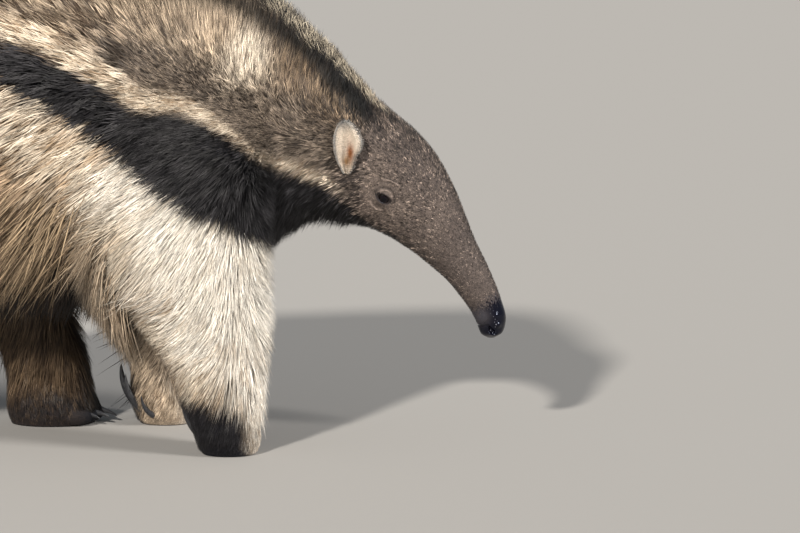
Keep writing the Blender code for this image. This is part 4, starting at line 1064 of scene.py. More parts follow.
# %% [markdown]
# ## Growing a tuft
# A tuft starts a little under the skin and takes a few steps. At each step it is held between the skin and
# the height that the coat has there, so it lies along the body and ends at the coat's outline. A tuft of
# long hair is also pulled down by its weight. Tufts of a neighbourhood lean towards a leader, which gathers
# them into locks.

# %% Grow the paths of many tufts at once
ROOT_SINK = 0.0015
WEIGHT_DOWN, SAG = np.array((0.0, 0.0, -1.0)), 0.35
STAND_MOST, LIFT_LEAST, LIFT_SHARE = 0.97, 0.0006, 0.45


def nearest_skin(points):
    found = np.array([skin_places.find(p)[1] for p in points])
    return skin_points[found], skin_normals[found], found


def grow(roots, normals, lie, length, height, steps, hang, free, curl, down_only):
    """The points that each tuft passes through, from its root to its tip.

    Height is the share of the room that a tuft fills, and free is how far its tip may pass the outline,
    everywhere or only below the body.
    """
    count = len(roots)
    lie = unit(lie)
    flat = lie - normals * (lie * normals).sum(1)[:, None]
    stand = np.clip((lie * normals).sum(1), 0, 1)
    first_room = room[nearest_skin(roots)[2]]
    stand = np.maximum(stand, np.clip(height * first_room / length, 0, STAND_MOST))
    way = unit(unit(flat) * np.sqrt(1 - stand**2)[:, None] + normals * stand[:, None])
    sideways = np.cross(way, normals)
    stride = (length / steps)[:, None]
    here = roots - normals * ROOT_SINK
    path = [here]
    for k in range(1, steps + 1):
        t = k / steps
        there = here + way * stride
        skin_at, skin_up, nearest = nearest_skin(there)
        off = ((there - skin_at) * skin_up).sum(1)
        below = smooth((0.25 - skin_up[:, 2]) / 0.8) if down_only else 1.0
        most = height * room[nearest] * t**0.6 + free * below * t
        least = np.minimum(LIFT_LEAST + LIFT_SHARE * height * room[nearest] * t, most)
        there = there + skin_up * (np.clip(off, least, most) - off)[:, None]
        path.append(there)
        way = unit(there - here)
        rise = (way * skin_up).sum(1)[:, None]
        way = way - skin_up * rise * (1 - 0.75 * hang[:, None]) * 0.6
        way = unit(way + WEIGHT_DOWN * (SAG * t * hang)[:, None] + sideways * (curl * t)[:, None])
        here = there
    return np.stack(path, 1)


def gather(path, every, pull):
    """Leans each tuft towards the nearest leader, more so at its tip."""
    leaders = np.arange(0, len(path), every)
    tree = KDTree(len(leaders))
    for row, leader in enumerate(leaders):
        tree.insert(path[leader, 0], row)
    tree.balance()
    follow = leaders[np.array([tree.find(p)[1] for p in path[:, 0]])]
    t = np.linspace(0, 1, path.shape[1])[None, :, None]
    path += (path[follow] - path) * pull[:, None, None] * t**1.3
    return path, follow


# %% [markdown]
# ## From paths to mesh
# A tuft is a thin blade with three sides, closed at its root and pointed at its tip. Thousands of them are
# written into one mesh at a time as arrays, which takes seconds where separate objects would take hours.
# Each blade keeps the colour of its own hair, darker at the root for its undercoat and for painted shade
# where less light gets in, and a small patch of its own in the map that a baked picture would use.

# %% Write blades into one mesh
BLADE_THICK, BLADE_ROUND = 0.38, 0.55
PATCH_SIZE = 0.003
BLADE_WIDTHS = {1: (1.0,), 2: (0.80, 1.0), 3: (0.70, 1.0, 0.72), 4: (0.65, 1.0, 0.90, 0.55)}


def write_pelt(mesh, colour):
    """Keeps a colour for each point of a mesh, under the name that the materials read."""
    pelt = mesh.attributes.new("pelt", "FLOAT_COLOR", "POINT")
    whole = np.concatenate([colour, np.ones((*colour.shape[:-1], 1))], -1)
    pelt.data.foreach_set("color", whole.astype(np.float32).ravel())


def blade_faces(steps):
    faces = [(0, 2, 1)]
    for k in range(steps - 1):
        for j in range(3):
            a, b = 3 * k + j, 3 * k + (j + 1) % 3
            faces.append((a, b, b + 3, a + 3))
    last = 3 * (steps - 1)
    return faces + [(last + j, last + (j + 1) % 3, 3 * steps) for j in range(3)]


def write_blades(name, path, normals, width, colours, chance, unwrap):
    """A mesh of blades. Colours are each blade's at its root, middle and tip.

    The light falls on a blade much as it does on the body under it, as it does on real hair, so the
    blade's shading normals are mostly the skin's own.
    """
    count, steps = len(path), path.shape[1] - 1
    per = 3 * steps + 1
    ways = unit(np.diff(path, axis=1))
    spin = (dice.random(count) - 0.5)[:, None] * 1.1
    places = np.empty((count, per, 3), np.float32)
    facing = np.empty((count, per, 3), np.float32)
    for k in range(steps):
        across = unit(np.cross(ways[:, k], normals))
        out = np.cross(across, ways[:, k])
        across, out = across * np.cos(spin) + out * np.sin(spin), out * np.cos(spin) - across * np.sin(spin)
        half = (width * BLADE_WIDTHS[steps][k] / 2)[:, None]
        places[:, 3 * k] = path[:, k] + across * half
        places[:, 3 * k + 1] = path[:, k] - across * half
        places[:, 3 * k + 2] = path[:, k] + out * half * 2 * BLADE_THICK
        for j, side in enumerate((across, -across, out)):
            facing[:, 3 * k + j] = unit(normals + side * BLADE_ROUND)
    places[:, -1] = path[:, -1]
    facing[:, -1] = unit(normals + ways[:, -1] * BLADE_ROUND * 0.5)
    along = np.array([k / steps for k in range(steps) for _ in range(3)] + [1.0])
    beside = np.array([0.0, 1.0, 0.5] * steps + [0.5])
    faces = blade_faces(steps)
    sizes = np.array([len(f) for f in faces])
    corners = (np.concatenate(faces)[None] + np.arange(count)[:, None] * per).ravel()
    first = np.concatenate([[0], np.cumsum(sizes)[:-1]])
    starts = (first[None] + np.arange(count)[:, None] * sizes.sum()).ravel()
    mesh = bpy.data.meshes.new(name)
    mesh.vertices.add(count * per)
    mesh.vertices.foreach_set("co", places.ravel())
    mesh.loops.add(len(corners))
    mesh.loops.foreach_set("vertex_index", corners.astype(np.int32))
    mesh.polygons.add(len(starts))
    mesh.polygons.foreach_set("loop_start", starts.astype(np.int32))
    mesh.update(calc_edges=True)
    mesh.shade_smooth()
    given = mesh.attributes.new("custom_normal", "FLOAT_VECTOR", "POINT")
    given.data.foreach_set("vector", facing.ravel())
    t = along[None, :, None]
    low, middle, tip = (c[:, None, :] for c in colours)
    shade = np.where(t < 0.5, low + (middle - low) * t * 2, middle + (tip - middle) * (t * 2 - 1))
    write_pelt(mesh, shade)
    strand = mesh.attributes.new("strand", "FLOAT_VECTOR", "POINT")
    told = np.stack(np.broadcast_arrays(along[None], beside[None], chance[:, None]), 2)
    strand.data.foreach_set("vector", told.astype(np.float32).ravel())
    layer = mesh.uv_layers.new(name="OFBake")
    corner_map = unwrap[:, None, :] + np.stack([beside, along], 1)[None] * PATCH_SIZE
    layer.data.foreach_set("uv", corner_map.reshape(-1, 2)[corners].astype(np.float32).ravel())
    obj = bpy.data.objects.new(name, mesh)
    bpy.context.scene.collection.objects.link(obj)
    triangles = int((sizes - 2).sum()) * count
    print(name, count, "tufts,", triangles, "triangles")
    return obj


# %% [markdown]
# ## Materials
# The pelt's colour comes from the mesh itself. The material adds what the real hair shows close up: fine
# streaks along each tuft, a lighter band somewhere on it, and a soft sheen. The skin has the same colours
# with a fine grain, because short hair covers it, and turns into wet black leather at the end of the snout.

# %% Write small node trees
def new_material(name, roughness, specular):
    material = bpy.data.materials.new(name)
    material.use_nodes = True
    tree = material.node_tree
    shader = tree.nodes["Principled BSDF"]
    shader.inputs["Roughness"].default_value = roughness
    shader.inputs["Specular IOR Level"].default_value = specular
    return material, tree, shader


def add_node(tree, kind, **settings):
    node = tree.nodes.new(kind)
    for key, value in settings.items():
        setattr(node, key, value)
    return node


def attribute(tree, name, output):
    node = add_node(tree, "ShaderNodeAttribute", attribute_name=name)
    return node.outputs[output]


def noise(tree, vector, scale, detail=2.0):
    node = add_node(tree, "ShaderNodeTexNoise")
    node.inputs["Scale"].default_value = scale
    node.inputs["Detail"].default_value = detail
    tree.links.new(vector, node.inputs["Vector"])
    return node.outputs["Fac"]


def ranged(tree, value, from_low, from_high, to_low, to_high):
    node = add_node(tree, "ShaderNodeMapRange")
    limits = {"From Min": from_low, "From Max": from_high, "To Min": to_low, "To Max": to_high}
    for socket, number in limits.items():
        node.inputs[socket].default_value = number
    tree.links.new(value, node.inputs["Value"])
    return node.outputs["Result"]


def math_of(tree, operation, one, other):
    node = add_node(tree, "ShaderNodeMath", operation=operation)
    for socket, value in zip(node.inputs, (one, other)):
        if isinstance(value, (int, float)):
            socket.default_value = value
        else:
            tree.links.new(value, socket)
    return node.outputs[0]


def times(tree, colour, factor):
    """A colour made lighter or darker by a factor."""
    node = add_node(tree, "ShaderNodeVectorMath", operation="SCALE")
    tree.links.new(colour, node.inputs[0])
    tree.links.new(factor, node.inputs["Scale"])
    return node.outputs[0]


def bump(tree, height, strength, distance):
    node = add_node(tree, "ShaderNodeBump")
    node.inputs["Strength"].default_value = strength
    node.inputs["Distance"].default_value = distance
    tree.links.new(height, node.inputs["Height"])
    return node.outputs["Normal"]


def hair_material(name, roughness, sheen, banding):
    """Banding is how much lighter each tuft is in a short band, and darker beyond it."""
    material, tree, shader = new_material(name, roughness, 0.22)
    parts = add_node(tree, "ShaderNodeSeparateXYZ")
    tree.links.new(attribute(tree, "strand", "Vector"), parts.inputs[0])
    grain = add_node(tree, "ShaderNodeCombineXYZ")
    tree.links.new(math_of(tree, "MULTIPLY", parts.outputs[1], 6.0), grain.inputs[0])
    tree.links.new(math_of(tree, "MULTIPLY", parts.outputs[0], 1.6), grain.inputs[1])
    tree.links.new(math_of(tree, "MULTIPLY", parts.outputs[2], 311.0), grain.inputs[2])
    streaks = ranged(tree, noise(tree, grain.outputs[0], 1.0), 0.28, 0.72, 0.50, 1.42)
    middle = ranged(tree, parts.outputs[2], 0.0, 1.0, 0.25, 0.85)
    off = math_of(tree, "ABSOLUTE", math_of(tree, "SUBTRACT", parts.outputs[0], middle), 0.0)
    band = ranged(tree, off, 0.04, 0.26, 1 + banding, 1 - banding * 0.5)
    factor = math_of(tree, "MULTIPLY", streaks, band)
    tree.links.new(times(tree, attribute(tree, "pelt", "Color"), factor), shader.inputs["Base Color"])
    shader.inputs["Sheen Weight"].default_value = sheen
    shader.inputs["Sheen Roughness"].default_value = 0.5
    return material


def skin_material():
    material, tree, shader = new_material("short_fur_skin", 0.8, 0.3)
    place = add_node(tree, "ShaderNodeTexCoord").outputs["Object"]
    fine = noise(tree, place, 900.0, 3.0)
    coarse = noise(tree, place, 260.0, 2.0)
    wet = attribute(tree, "wet", "Fac")
    fine_tone = ranged(tree, fine, 0.3, 0.7, 0.55, 1.5)
    speckle = math_of(tree, "MULTIPLY", fine_tone, ranged(tree, coarse, 0.3, 0.7, 0.8, 1.2))
    dry = math_of(tree, "SUBTRACT", 1.0, wet)
    speckle = math_of(tree, "ADD", math_of(tree, "MULTIPLY", speckle, dry), wet)
    tree.links.new(times(tree, attribute(tree, "pelt", "Color"), speckle), shader.inputs["Base Color"])
    tree.links.new(ranged(tree, wet, 0.3, 0.9, 0.8, 0.12), shader.inputs["Roughness"])
    shader.inputs["Specular Tint"].default_value = (0.70, 0.78, 1.0, 1.0)
    cobbles = math_of(tree, "MULTIPLY", math_of(tree, "MULTIPLY", noise(tree, place, 330.0, 1.0), wet), 0.4)
    grain = math_of(tree, "MULTIPLY", math_of(tree, "ADD", fine, coarse), dry)
    height = math_of(tree, "ADD", grain, cobbles)
    tree.links.new(bump(tree, height, 0.6, 0.0009), shader.inputs["Normal"])
    return material


coarse_hair = hair_material("coarse_hair", 0.50, 0.03, 0.22)
face_hair = hair_material("face_hair", 0.60, 0.06, 1.1)
skin.data.materials.clear()
skin.data.materials.append(skin_material())
print("materials:", [m.name for m in bpy.data.materials if m.name.endswith(("hair", "skin"))])

# %% [markdown]
# ## Colour the skin
# The skin shows between the tufts and on the snout, so it carries the same markings. A point of the skin
# belongs to the sleeve that it is nearest to, which says whether the drawing or a leg's own patches colour
# it.

# %% Give the skin its markings
WET_LOW, WET_HIGH, WET_SOFT = 0.1640, 0.1830, 0.016
LIP_PATCH, LIP_HALF = np.array((0.3500, 0.1560)), np.array((0.0100, 0.0090))
LEATHER, LIP_GREY = np.array((0.002, 0.002, 0.005)), np.array((0.034, 0.034, 0.043))
LID_SKIN = np.array((0.020, 0.015, 0.013))
LIP_DRY, SLEEVE_REACH = 0.55, 0.05


def wetness(points):
    """How bare and wet the skin is: black leather at the end of the snout."""
    line = WET_LOW + (WET_HIGH - WET_LOW) * smooth((points[:, 0] - 0.340) / 0.036)
    ragged = 0.3 * dice.normal(size=len(points))
    bare = smooth((line - points[:, 2]) / WET_SOFT + 0.5 + ragged) * (points[:, 0] > SNOUT_END)
    return bare * (1 - LIP_DRY * lip_share(points))


def lip_share(points):
    """How much points lie on the dusty grey patch of the upper lip."""
    return np.exp(-((((points[:, 0::2] - LIP_PATCH) / LIP_HALF) ** 2).sum(1)))


def eye_fold_light_and_shade(points):
    """Painted light and shade round the eyes: lighter on the folds as if lit, darker in the creases and
    round the opening as if shaded.
    """
    shade = np.ones(len(points))
    for eye in eyes.values():
        a, b, off = near_eye(points, eye)
        close = np.abs(off) < FACE_SLACK
        for strength in folds_at(a, b):
            # Painted highlight along each fold
            shade += 1.1 * strength * close * dice.uniform(0.4, 1.0, len(points))
        reach = np.hypot(a, b)
        # Painted shade in the crease above the eye and round its opening
        shade *= 1 - 0.45 * close * np.exp(-(((reach - 0.0142) / 0.0022) ** 2)) * (b > 0)
        shade *= 1 - 0.45 * close * np.exp(-((reach / 0.011) ** 2))
    return shade


def near_an_eye(points):
    """How far points are from the nearer eye, over the skin."""
    gaps = []
    for eye in eyes.values():
        a, b, off = near_eye(points, eye)
        gaps.append(np.where(np.abs(off) < FACE_SLACK, np.hypot(a, b), 1.0))
    return np.minimum(*gaps)


def leg_place(name, points):
    """Down which part of a leg, and how far round it, points of the drawing lie."""
    table = np.array(with_paw(name), float)
    u = np.interp(-points[:, 2], -table[:, 0], np.arange(len(table)))
    rows = stations_at(table, u)
    rear = (rows[:, 1] - points[:, 0]) / rows[:, 3]
    left = (points[:, 1] - side_of(name) * rows[:, 2]) / rows[:, 4]
    return u, np.degrees(np.arctan2(rear, left))


def colour_skin(obj):
    points = points_of(obj)
    drawn = points - shift
    dark, light, share = pelt_at(drawn, np.zeros(len(drawn)))
    nearest = np.zeros(len(points), int)
    for k, p in enumerate(points):
        found = [tree.find_nearest(Vector(p), SLEEVE_REACH) for tree in sleeve_trees]
        nearest[k] = int(np.argmin([1.0 if place is None else gap for place, _, _, gap in found]))
    for row, name in enumerate(LEGS, start=2):
        mine = (nearest == row) & (drawn[:, 2] < LEG_TOP)
        u, degrees = leg_place(name, drawn[mine])
        found = local_pelt(leg_patches(name), u, outer_degrees(name, degrees))
        dark[mine], light[mine], share[mine] = found
    tail = nearest == 1
    dark[tail], light[tail], share[tail] = np.array(UMBER), np.array(BROWN), 0.3
    colour = dark + (light - dark) * share[:, None]
    bright = paleness(colour)
    colour *= (np.where(drawn[:, 0] < 0.20, 0.45, 0.85) * (1 - bright) + 0.72 * bright)[:, None]
    # Painted highlight on the folds round the eyes and painted shade in their creases
    colour *= eye_fold_light_and_shade(points)[:, None]
    # Painted shade in the hollow behind the elbow
    colour *= (1 - ELBOW_SHADE_DARK * elbow_shade_share(drawn))[:, None]
    wet = wetness(drawn)
    colour += (LEATHER - colour) * wet[:, None]
    lip = lip_share(drawn) * (drawn[:, 0] > SNOUT_END) * dice.uniform(0.5, 1.0, len(drawn))
    colour += (LIP_GREY - colour) * lip[:, None]
    for eye in eyes.values():
        a, b, off = near_eye(points, eye)
        opening = np.hypot(a / OPEN_LONG / 1.2, b / OPEN_HIGH)
        rim = smooth((1.45 - opening) / 0.3) * (np.abs(off) < FACE_SLACK)
        colour += (LID_SKIN - colour) * rim[:, None]
        wet = np.maximum(wet, 0.8 * smooth((1.25 - opening) / 0.15) * (np.abs(off) < FACE_SLACK))
    write_pelt(obj.data, colour)
    damp = obj.data.attributes.new("wet", "FLOAT", "POINT")
    damp.data.foreach_set("value", wet.astype(np.float32))


colour_skin(skin)
skin.data.shade_smooth()
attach(skin, "root")
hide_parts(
    "nose", "head", "neck", "torso", "tail", *LEGS, *[name.replace("leg", "paw") for name in LEGS]
)
print("skin coloured")

# %% [markdown]
# ## The coat
# Each stretch of the coat is one piece: its sleeve, the places along and round it, how many tufts it has
# and in how many steps they bend. The widths follow the lengths, from under a millimetre on the face to
# three on the flank. The crest stands up with pale tips. The belly's hair and the fringes of the flank and
# the elbow hang free.

# %% Grow each stretch of the coat
ROUGH_LENGTH, ROUGH_LIE = 0.20, 0.13
FLANK_FREE, ELBOW_FREE, TAIL_FREE = 0.42, 0.55, 0.012
THROAT_FREE, THROAT_START, THROAT_END = 0.014, 8.5, 15.6
FORELEG_LOOSE, SIDE_MOST, FAR_ELBOW = 0.25, 0.171, 0.55
LOCK_COLOUR, FRINGE_COLOUR, LOCK_TILT, CREST_DARK, EYE_RICH = 0.55, 0.35, 0.22, 0.97, 1.5
# The root is darker for the undercoat, and with painted shade where less light gets in among the hair
ROOT_UNDERCOAT_AND_SHADE, PALE_ROOT_MORE, MIDDLE_TONE, TIP_TONE = 0.40, 0.25, 0.92, 1.08
# For hair that hangs free: how much of its own lie it keeps, how far it points down, how much it strays,
# its shortest and longest length, the least and most that it leaves the outline, and its two colours and
# the lighter one's share
HANGING = {
    "belly": ((0.5, 0.2, 0.0), 0.9, 0.0, (0.080, 0.125), (0.050, 0.100), (INK, UMBER, 0.3)),
    "fringe": ((0.9, 0.2, 0.0), 0.75, 0.16, (0.0715, 0.156), (0.034, 0.085), (UMBER, HONEY, 0.60)),
    "elbow": ((0.4, 0.2, 0.0), 0.9, 0.16, (0.06875, 0.150), (0.020, 0.050), (BROWN, SAND, 0.62)),
}


def tuft_width(length):
    return np.clip(0.0006 + 0.020 * length, 0.0007, 0.0032)


def light_or_dark(dark, light, share):
    """Each tuft is mostly the dark or mostly the light colour of its patch, with some between."""
    pick = smooth((share - dice.random(len(share))) / 0.32 + 0.5)
    colour = dark + (light - dark) * pick[:, None]
    return colour * (1 + 0.20 * (dice.random(len(share)) - 0.5))[:, None]


def face_clear(points):
    """Is a root clear of the eyes and of the bare skin of the nose?"""
    clear = np.ones(len(points), bool)
    for eye in eyes.values():
        a, b, off = near_eye(points, eye)
        clear &= ~((np.hypot(a / OPEN_LONG, b / OPEN_HIGH) < 1.4) & (np.abs(off) < FACE_SLACK))
    clear &= dice.random(len(points)) > wetness(points - shift) * 1.5
    return clear


def comb(form, points, u, degrees):
    """The way that hair points on a form, and its length."""
    if form == "trunk":
        return comb_trunk(points)
    if form == "tail":
        return comb_local(TAIL_COMB, u, degrees, 1)
    strokes = FORELEG_COMB if form.startswith("fore") else HINDLEG_COMB
    own = comb_local(strokes, u, outer_degrees(form, degrees), side_of(form))
    above = comb_trunk(points)
    share = leg_share(points)
    way = own[0] * share[:, None] + above[0] * (1 - share)[:, None]
    return way, own[1] * share + above[1] * (1 - share)


def colours_on(form, drawn, seen, u, degrees):
    """The dark and light colours and the light one's share for hair on a form."""
    loose = dice.normal(size=len(drawn)) * 1.6
    if form == "trunk":
        return pelt_at((seen + drawn) / 2, loose)
    if form == "tail":
        return local_pelt(TAIL_PATCHES, u, degrees)
    low = local_pelt(leg_patches(form), u, outer_degrees(form, degrees))
    above = pelt_at((seen + drawn) / 2, loose)
    down = leg_share(drawn + 0.004 * dice.normal(size=drawn.shape))
    return tuple(b * (1 - f) + a * f for a, b, f in zip(low, above, (down[:, None], down[:, None], down)))


def coat(name, form, start, end, wanted, steps, slot, lock, keep=None, thicker=1.0, style=""):
    """Grows one piece of the coat on a form, which is trunk, tail or the name of a leg.

    A lock is how many tufts share a leader, how much they lean to it and how much the locks' tones differ.
    """
    table = {"trunk": TRUNK, "tail": TAIL}.get(form) or with_paw(form)
    leg = form in LEGS

    def point_at(u, degrees):
        return leg_point(table, side_of(form), u, degrees) if leg else trunk_point(table, u, degrees)

    def richness(points, u, degrees):
        _, length = comb(form, points, u, degrees)
        close = EYE_RICH * smooth((0.024 - near_an_eye(points + shift)) / 0.012)
        return (1 + close) / (length * tuft_width(length)) ** 0.55

    keep = keep or (lambda u, degrees, points: np.ones(len(u)))
    u, degrees, roots, normals = scatter(point_at, start, end, wanted, keep, richness)
    if form == "trunk":
        clear = face_clear(roots)
        u, degrees, roots, normals = u[clear], degrees[clear], roots[clear], normals[clear]
    drawn = roots - shift
    lie, length = comb(form, drawn, u, degrees)
    length = length * (1 + ROUGH_LENGTH * dice.normal(size=len(length))).clip(0.5, 1.5)
    length *= 0.28 + 0.72 * smooth((near_an_eye(roots) - 0.008) / 0.022)
    loose = {"trunk": FLANK_FREE, "tail": 0.0}.get(form, ELBOW_FREE)
    free = loose * length * smooth((length - 0.050) / 0.02)
    if style in HANGING:
        kept, down, stray, lengths, gaps, _ = HANGING[style]
        lie = lie * kept + (0.0, 0.0, -down)
        if stray:
            lie = lie + stray * dice.normal(size=lie.shape)
        length = dice.uniform(*lengths, len(length))
        free = dice.uniform(*gaps, len(length))
    if form == "foreleg_left" and style == "elbow":
        length, free = length * FAR_ELBOW, free * FAR_ELBOW
    if style == "crest":
        length = room[nearest_skin(roots)[2]] * (1.0 + 0.35 * dice.random(len(length)))
        lie = unit(lie) * 0.6 + normals * 0.7
    if form == "tail":
        free = np.full(len(length), TAIL_FREE)
    if form == "trunk" and not style:
        ends = smooth((u - THROAT_START) / 2) * smooth((THROAT_END - u) / 0.8)
        free = free + THROAT_FREE * dice.random(len(u)) * ends
    lie = unit(lie) + ROUGH_LIE * dice.normal(size=lie.shape)
    height = 0.82 + 0.30 * dice.random(len(length))
    hang = smooth((length - 0.055) / 0.05) * np.where(form == "tail", 1.0, 0.7)
    curl = 0.25 * dice.normal(size=len(length))
    if form.startswith("fore"):
        height = height + FORELEG_LOOSE
    down_only = form == "trunk" and style not in HANGING
    path = grow(roots, normals, lie, length, height, steps, hang, free, curl, down_only)
    path, leader = gather(path, lock[0], lock[1] * (0.5 + dice.random(len(path))))
    path[:, :, 2] = np.maximum(path[:, :, 2], 0.0012 + 0.002 * dice.random((len(path), 1)))
    most = SIDE_MOST + 0.004 * dice.random((len(path), 1))
    path[:, :, 1] = np.clip(path[:, :, 1], -most, most)
    seen = path[:, -1] * 0.6 + roots * 0.4 - shift
    dark, light, share = colours_on(form, drawn, seen, u, degrees)
    if style in HANGING:
        first, second, part = HANGING[style][-1]
        dark, light, share = np.array(first) + dark * 0, np.array(second) + light * 0, share * 0 + part
    colour = light_or_dark(dark, light, share)
    colour += (colour[leader] - colour) * (FRINGE_COLOUR if style == "fringe" else LOCK_COLOUR)
    # Painted highlight on the folds round the eyes and painted shade in their creases
    colour *= eye_fold_light_and_shade(roots)[:, None]
    colour *= (1 - 0.8 * wetness(drawn))[:, None]
    # Painted shade in the hollow behind the elbow
    colour *= (1 - ELBOW_SHADE_DARK * elbow_shade_share(seen))[:, None]
    colour *= (1 + lock[2] * dice.normal(size=len(path)))[leader][:, None].clip(0.3, 1.7)
    bright = paleness(colour)[:, None]
    # Darker root: the undercoat, and painted shade among the hair
    low = colour * (ROOT_UNDERCOAT_AND_SHADE + PALE_ROOT_MORE * bright)
    middle, tip = colour * MIDDLE_TONE, colour * TIP_TONE
    if style == "crest":
        tip = np.array(CREST_TIP) * dice.uniform(0.75, 1.15, (len(path), 1))
        low, middle = np.array(INK) + low * 0.0, tip * 0.12
    elif form == "trunk" and not style:
        ends = (path[:, 0], path[:, steps // 2], path[:, -1])
        lines = [1 - CREST_DARK * crest_share(*side_view(end - shift))[:, None] for end in ends]
        low, middle, tip = low * lines[0], middle * lines[1], tip * lines[2]
    width = tuft_width(length) * thicker * (0.8 + 0.4 * dice.random(len(length)))
    width *= 0.6 + 0.4 * smooth((near_an_eye(roots) - 0.012) / 0.012)
    unwrap = np.stack([(u - start) / (end - start), (degrees + 180) / 360], 1) * (1 - 2 * PATCH_SIZE)
    facing = unit(normals + LOCK_TILT * dice.normal(size=normals.shape)[leader])
    obj = write_blades(name, path, facing, width, (low, middle, tip), dice.random(len(path)), unwrap)
    obj.data.materials.append(face_hair if name == "coat_face" else coarse_hair)
    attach(obj, "root")
    return obj


def right_half(u, degrees, points):
    return (points[:, 1] < 0).astype(float)


def left_half(u, degrees, points):
    return (points[:, 1] >= 0).astype(float)


def ridge(u, degrees, points):
    return (np.sin(np.radians(degrees)) > 0.955) * smooth((u - 10.8) / 1.8) * smooth((21.5 - u) / 3)


def underside(u, degrees, points):
    return (np.sin(np.radians(degrees)) < -0.80).astype(float)


def low_flank(u, degrees, points):
    rise = np.sin(np.radians(degrees))
    return (rise < -0.30) * (rise > -0.88) * smooth((-0.115 - points[:, 0]) / 0.07)


def low_flank_right(u, degrees, points):
    return low_flank(u, degrees, points) * (points[:, 1] < 0)


def low_flank_left(u, degrees, points):
    return low_flank(u, degrees, points) * (points[:, 1] >= 0) * smooth((-0.20 - points[:, 0]) / 0.05)


def elbow(u, degrees, points):
    behind = smooth((0.2 - np.abs(np.cos(np.radians(degrees)))) / 0.5 + 0.5)
    return behind * (np.sin(np.radians(degrees)) > 0.3)


FACE_LOCK, SHORT_LOCK, LEG_LOCK = (4, 0.15, 0.60), (6, 0.2, 0.32), (8, 0.25, 0.16)
LONG_LOCK, CREST_LOCK, BELLY_LOCK = (14, 0.4, 0.18), (6, 0.3, 0.1), (10, 0.4, 0.2)
TAIL_LOCK, NEAR_LOCK, FAR_LOCK = (12, 0.45, 0.16), (9, 0.35, 0.2), (18, 0.6, 0.2)
GRIZZLED, CREAM_WHITE, DARK = "grizzled_coat", "cream_coat", "dark_coat"
# Each piece's form, start, end, tufts, steps, slot and lock, then its part of the form and its thickness
COATS = {
    "face": ("trunk", 1.2, NECK_START, 40000, 1, "grey_coat", FACE_LOCK, None, 1.2),
    "neck": ("trunk", NECK_START, SHOULDER_START, 36000, 1, GRIZZLED, SHORT_LOCK),
    "crest": ("trunk", 10.8, 21.5, 6000, 3, GRIZZLED, CREST_LOCK, ridge, 0.85, "crest"),
    "shoulder_right": ("trunk", SHOULDER_START, FLANK_START, 36000, 1, GRIZZLED, SHORT_LOCK, right_half),
    "shoulder_left": ("trunk", SHOULDER_START, FLANK_START, 20000, 1, GRIZZLED, SHORT_LOCK, left_half, 1.3),
    "flank_right": ("trunk", FLANK_START, TRUNK_END, 17000, 2, GRIZZLED, LONG_LOCK, right_half, 0.95),
    "flank_left": ("trunk", FLANK_START, TRUNK_END, 9000, 2, GRIZZLED, LONG_LOCK, left_half, 1.4),
    "belly": ("trunk", 15.6, 20.6, 4500, 2, DARK, BELLY_LOCK, underside, 1.2, "belly"),
    "foreleg_right": ("foreleg_right", 0.3, 8.9, 38000, 1, CREAM_WHITE, LEG_LOCK, None, 1.05),
    "foreleg_left": ("foreleg_left", 0.3, 8.9, 15000, 1, CREAM_WHITE, LEG_LOCK, None, 1.3),
    "hindleg_right": ("hindleg_right", 0.3, 8.9, 9500, 1, DARK, LEG_LOCK, None, 1.5),
    "hindleg_left": ("hindleg_left", 0.3, 8.9, 14000, 1, DARK, LEG_LOCK, None, 1.3),
    "tail": ("tail", 0.0, TAIL_END, 6500, 3, DARK, TAIL_LOCK, None, 1.4),
    "fringe_right": ("trunk", 16.5, 24.0, 6000, 2, GRIZZLED, NEAR_LOCK, low_flank_right, 0.42, "fringe"),
    "fringe_left": ("trunk", 16.5, 24.0, 1800, 2, GRIZZLED, FAR_LOCK, low_flank_left, 1.2, "fringe"),
    "elbow_right": ("foreleg_right", 1.9, 2.9, 4500, 2, CREAM_WHITE, NEAR_LOCK, elbow, 0.44, "elbow"),
    "elbow_left": ("foreleg_left", 1.5, 2.8, 1200, 2, CREAM_WHITE, BELLY_LOCK, elbow, 1.2, "elbow"),
}
for name, row in COATS.items():
    coat("coat_" + name, *row)

# %% [markdown]
# ## Eyes
# The eye is almost black. Its iris is a very dark brown ring round a black pupil, under a clear wet surface
# that mirrors the sky.

# %% Make the eyeballs
IRIS, PUPIL, EYE_EDGE = (0.005, 0.003, 0.005, 1), (0.002, 0.002, 0.003, 1), (0.004, 0.003, 0.003, 1)


def eye_material():
    material, tree, shader = new_material("eye", 0.05, 0.18)
    place = add_node(tree, "ShaderNodeTexCoord").outputs["Object"]
    length = add_node(tree, "ShaderNodeVectorMath", operation="LENGTH")
    flat = add_node(tree, "ShaderNodeVectorMath", operation="MULTIPLY")
    flat.inputs[1].default_value = (1, 1, 0)
    tree.links.new(place, flat.inputs[0])
    tree.links.new(flat.outputs[0], length.inputs[0])
    ramp = add_node(tree, "ShaderNodeValToRGB")
    ramp.color_ramp.elements[0].position = 0.30
    ramp.color_ramp.elements[0].color = PUPIL
    ramp.color_ramp.elements[1].position = 0.36
    ramp.color_ramp.elements[1].color = IRIS
    rim = ramp.color_ramp.elements.new(0.72)
    rim.color = EYE_EDGE
    tree.links.new(ranged(tree, length.outputs["Value"], 0.0, EYE_RADIUS, 0.0, 1.0), ramp.inputs["Fac"])
    streak = ranged(tree, noise(tree, place, 900.0), 0.3, 0.7, 0.6, 1.4)
    tree.links.new(times(tree, ramp.outputs["Color"], streak), shader.inputs["Base Color"])
    return material


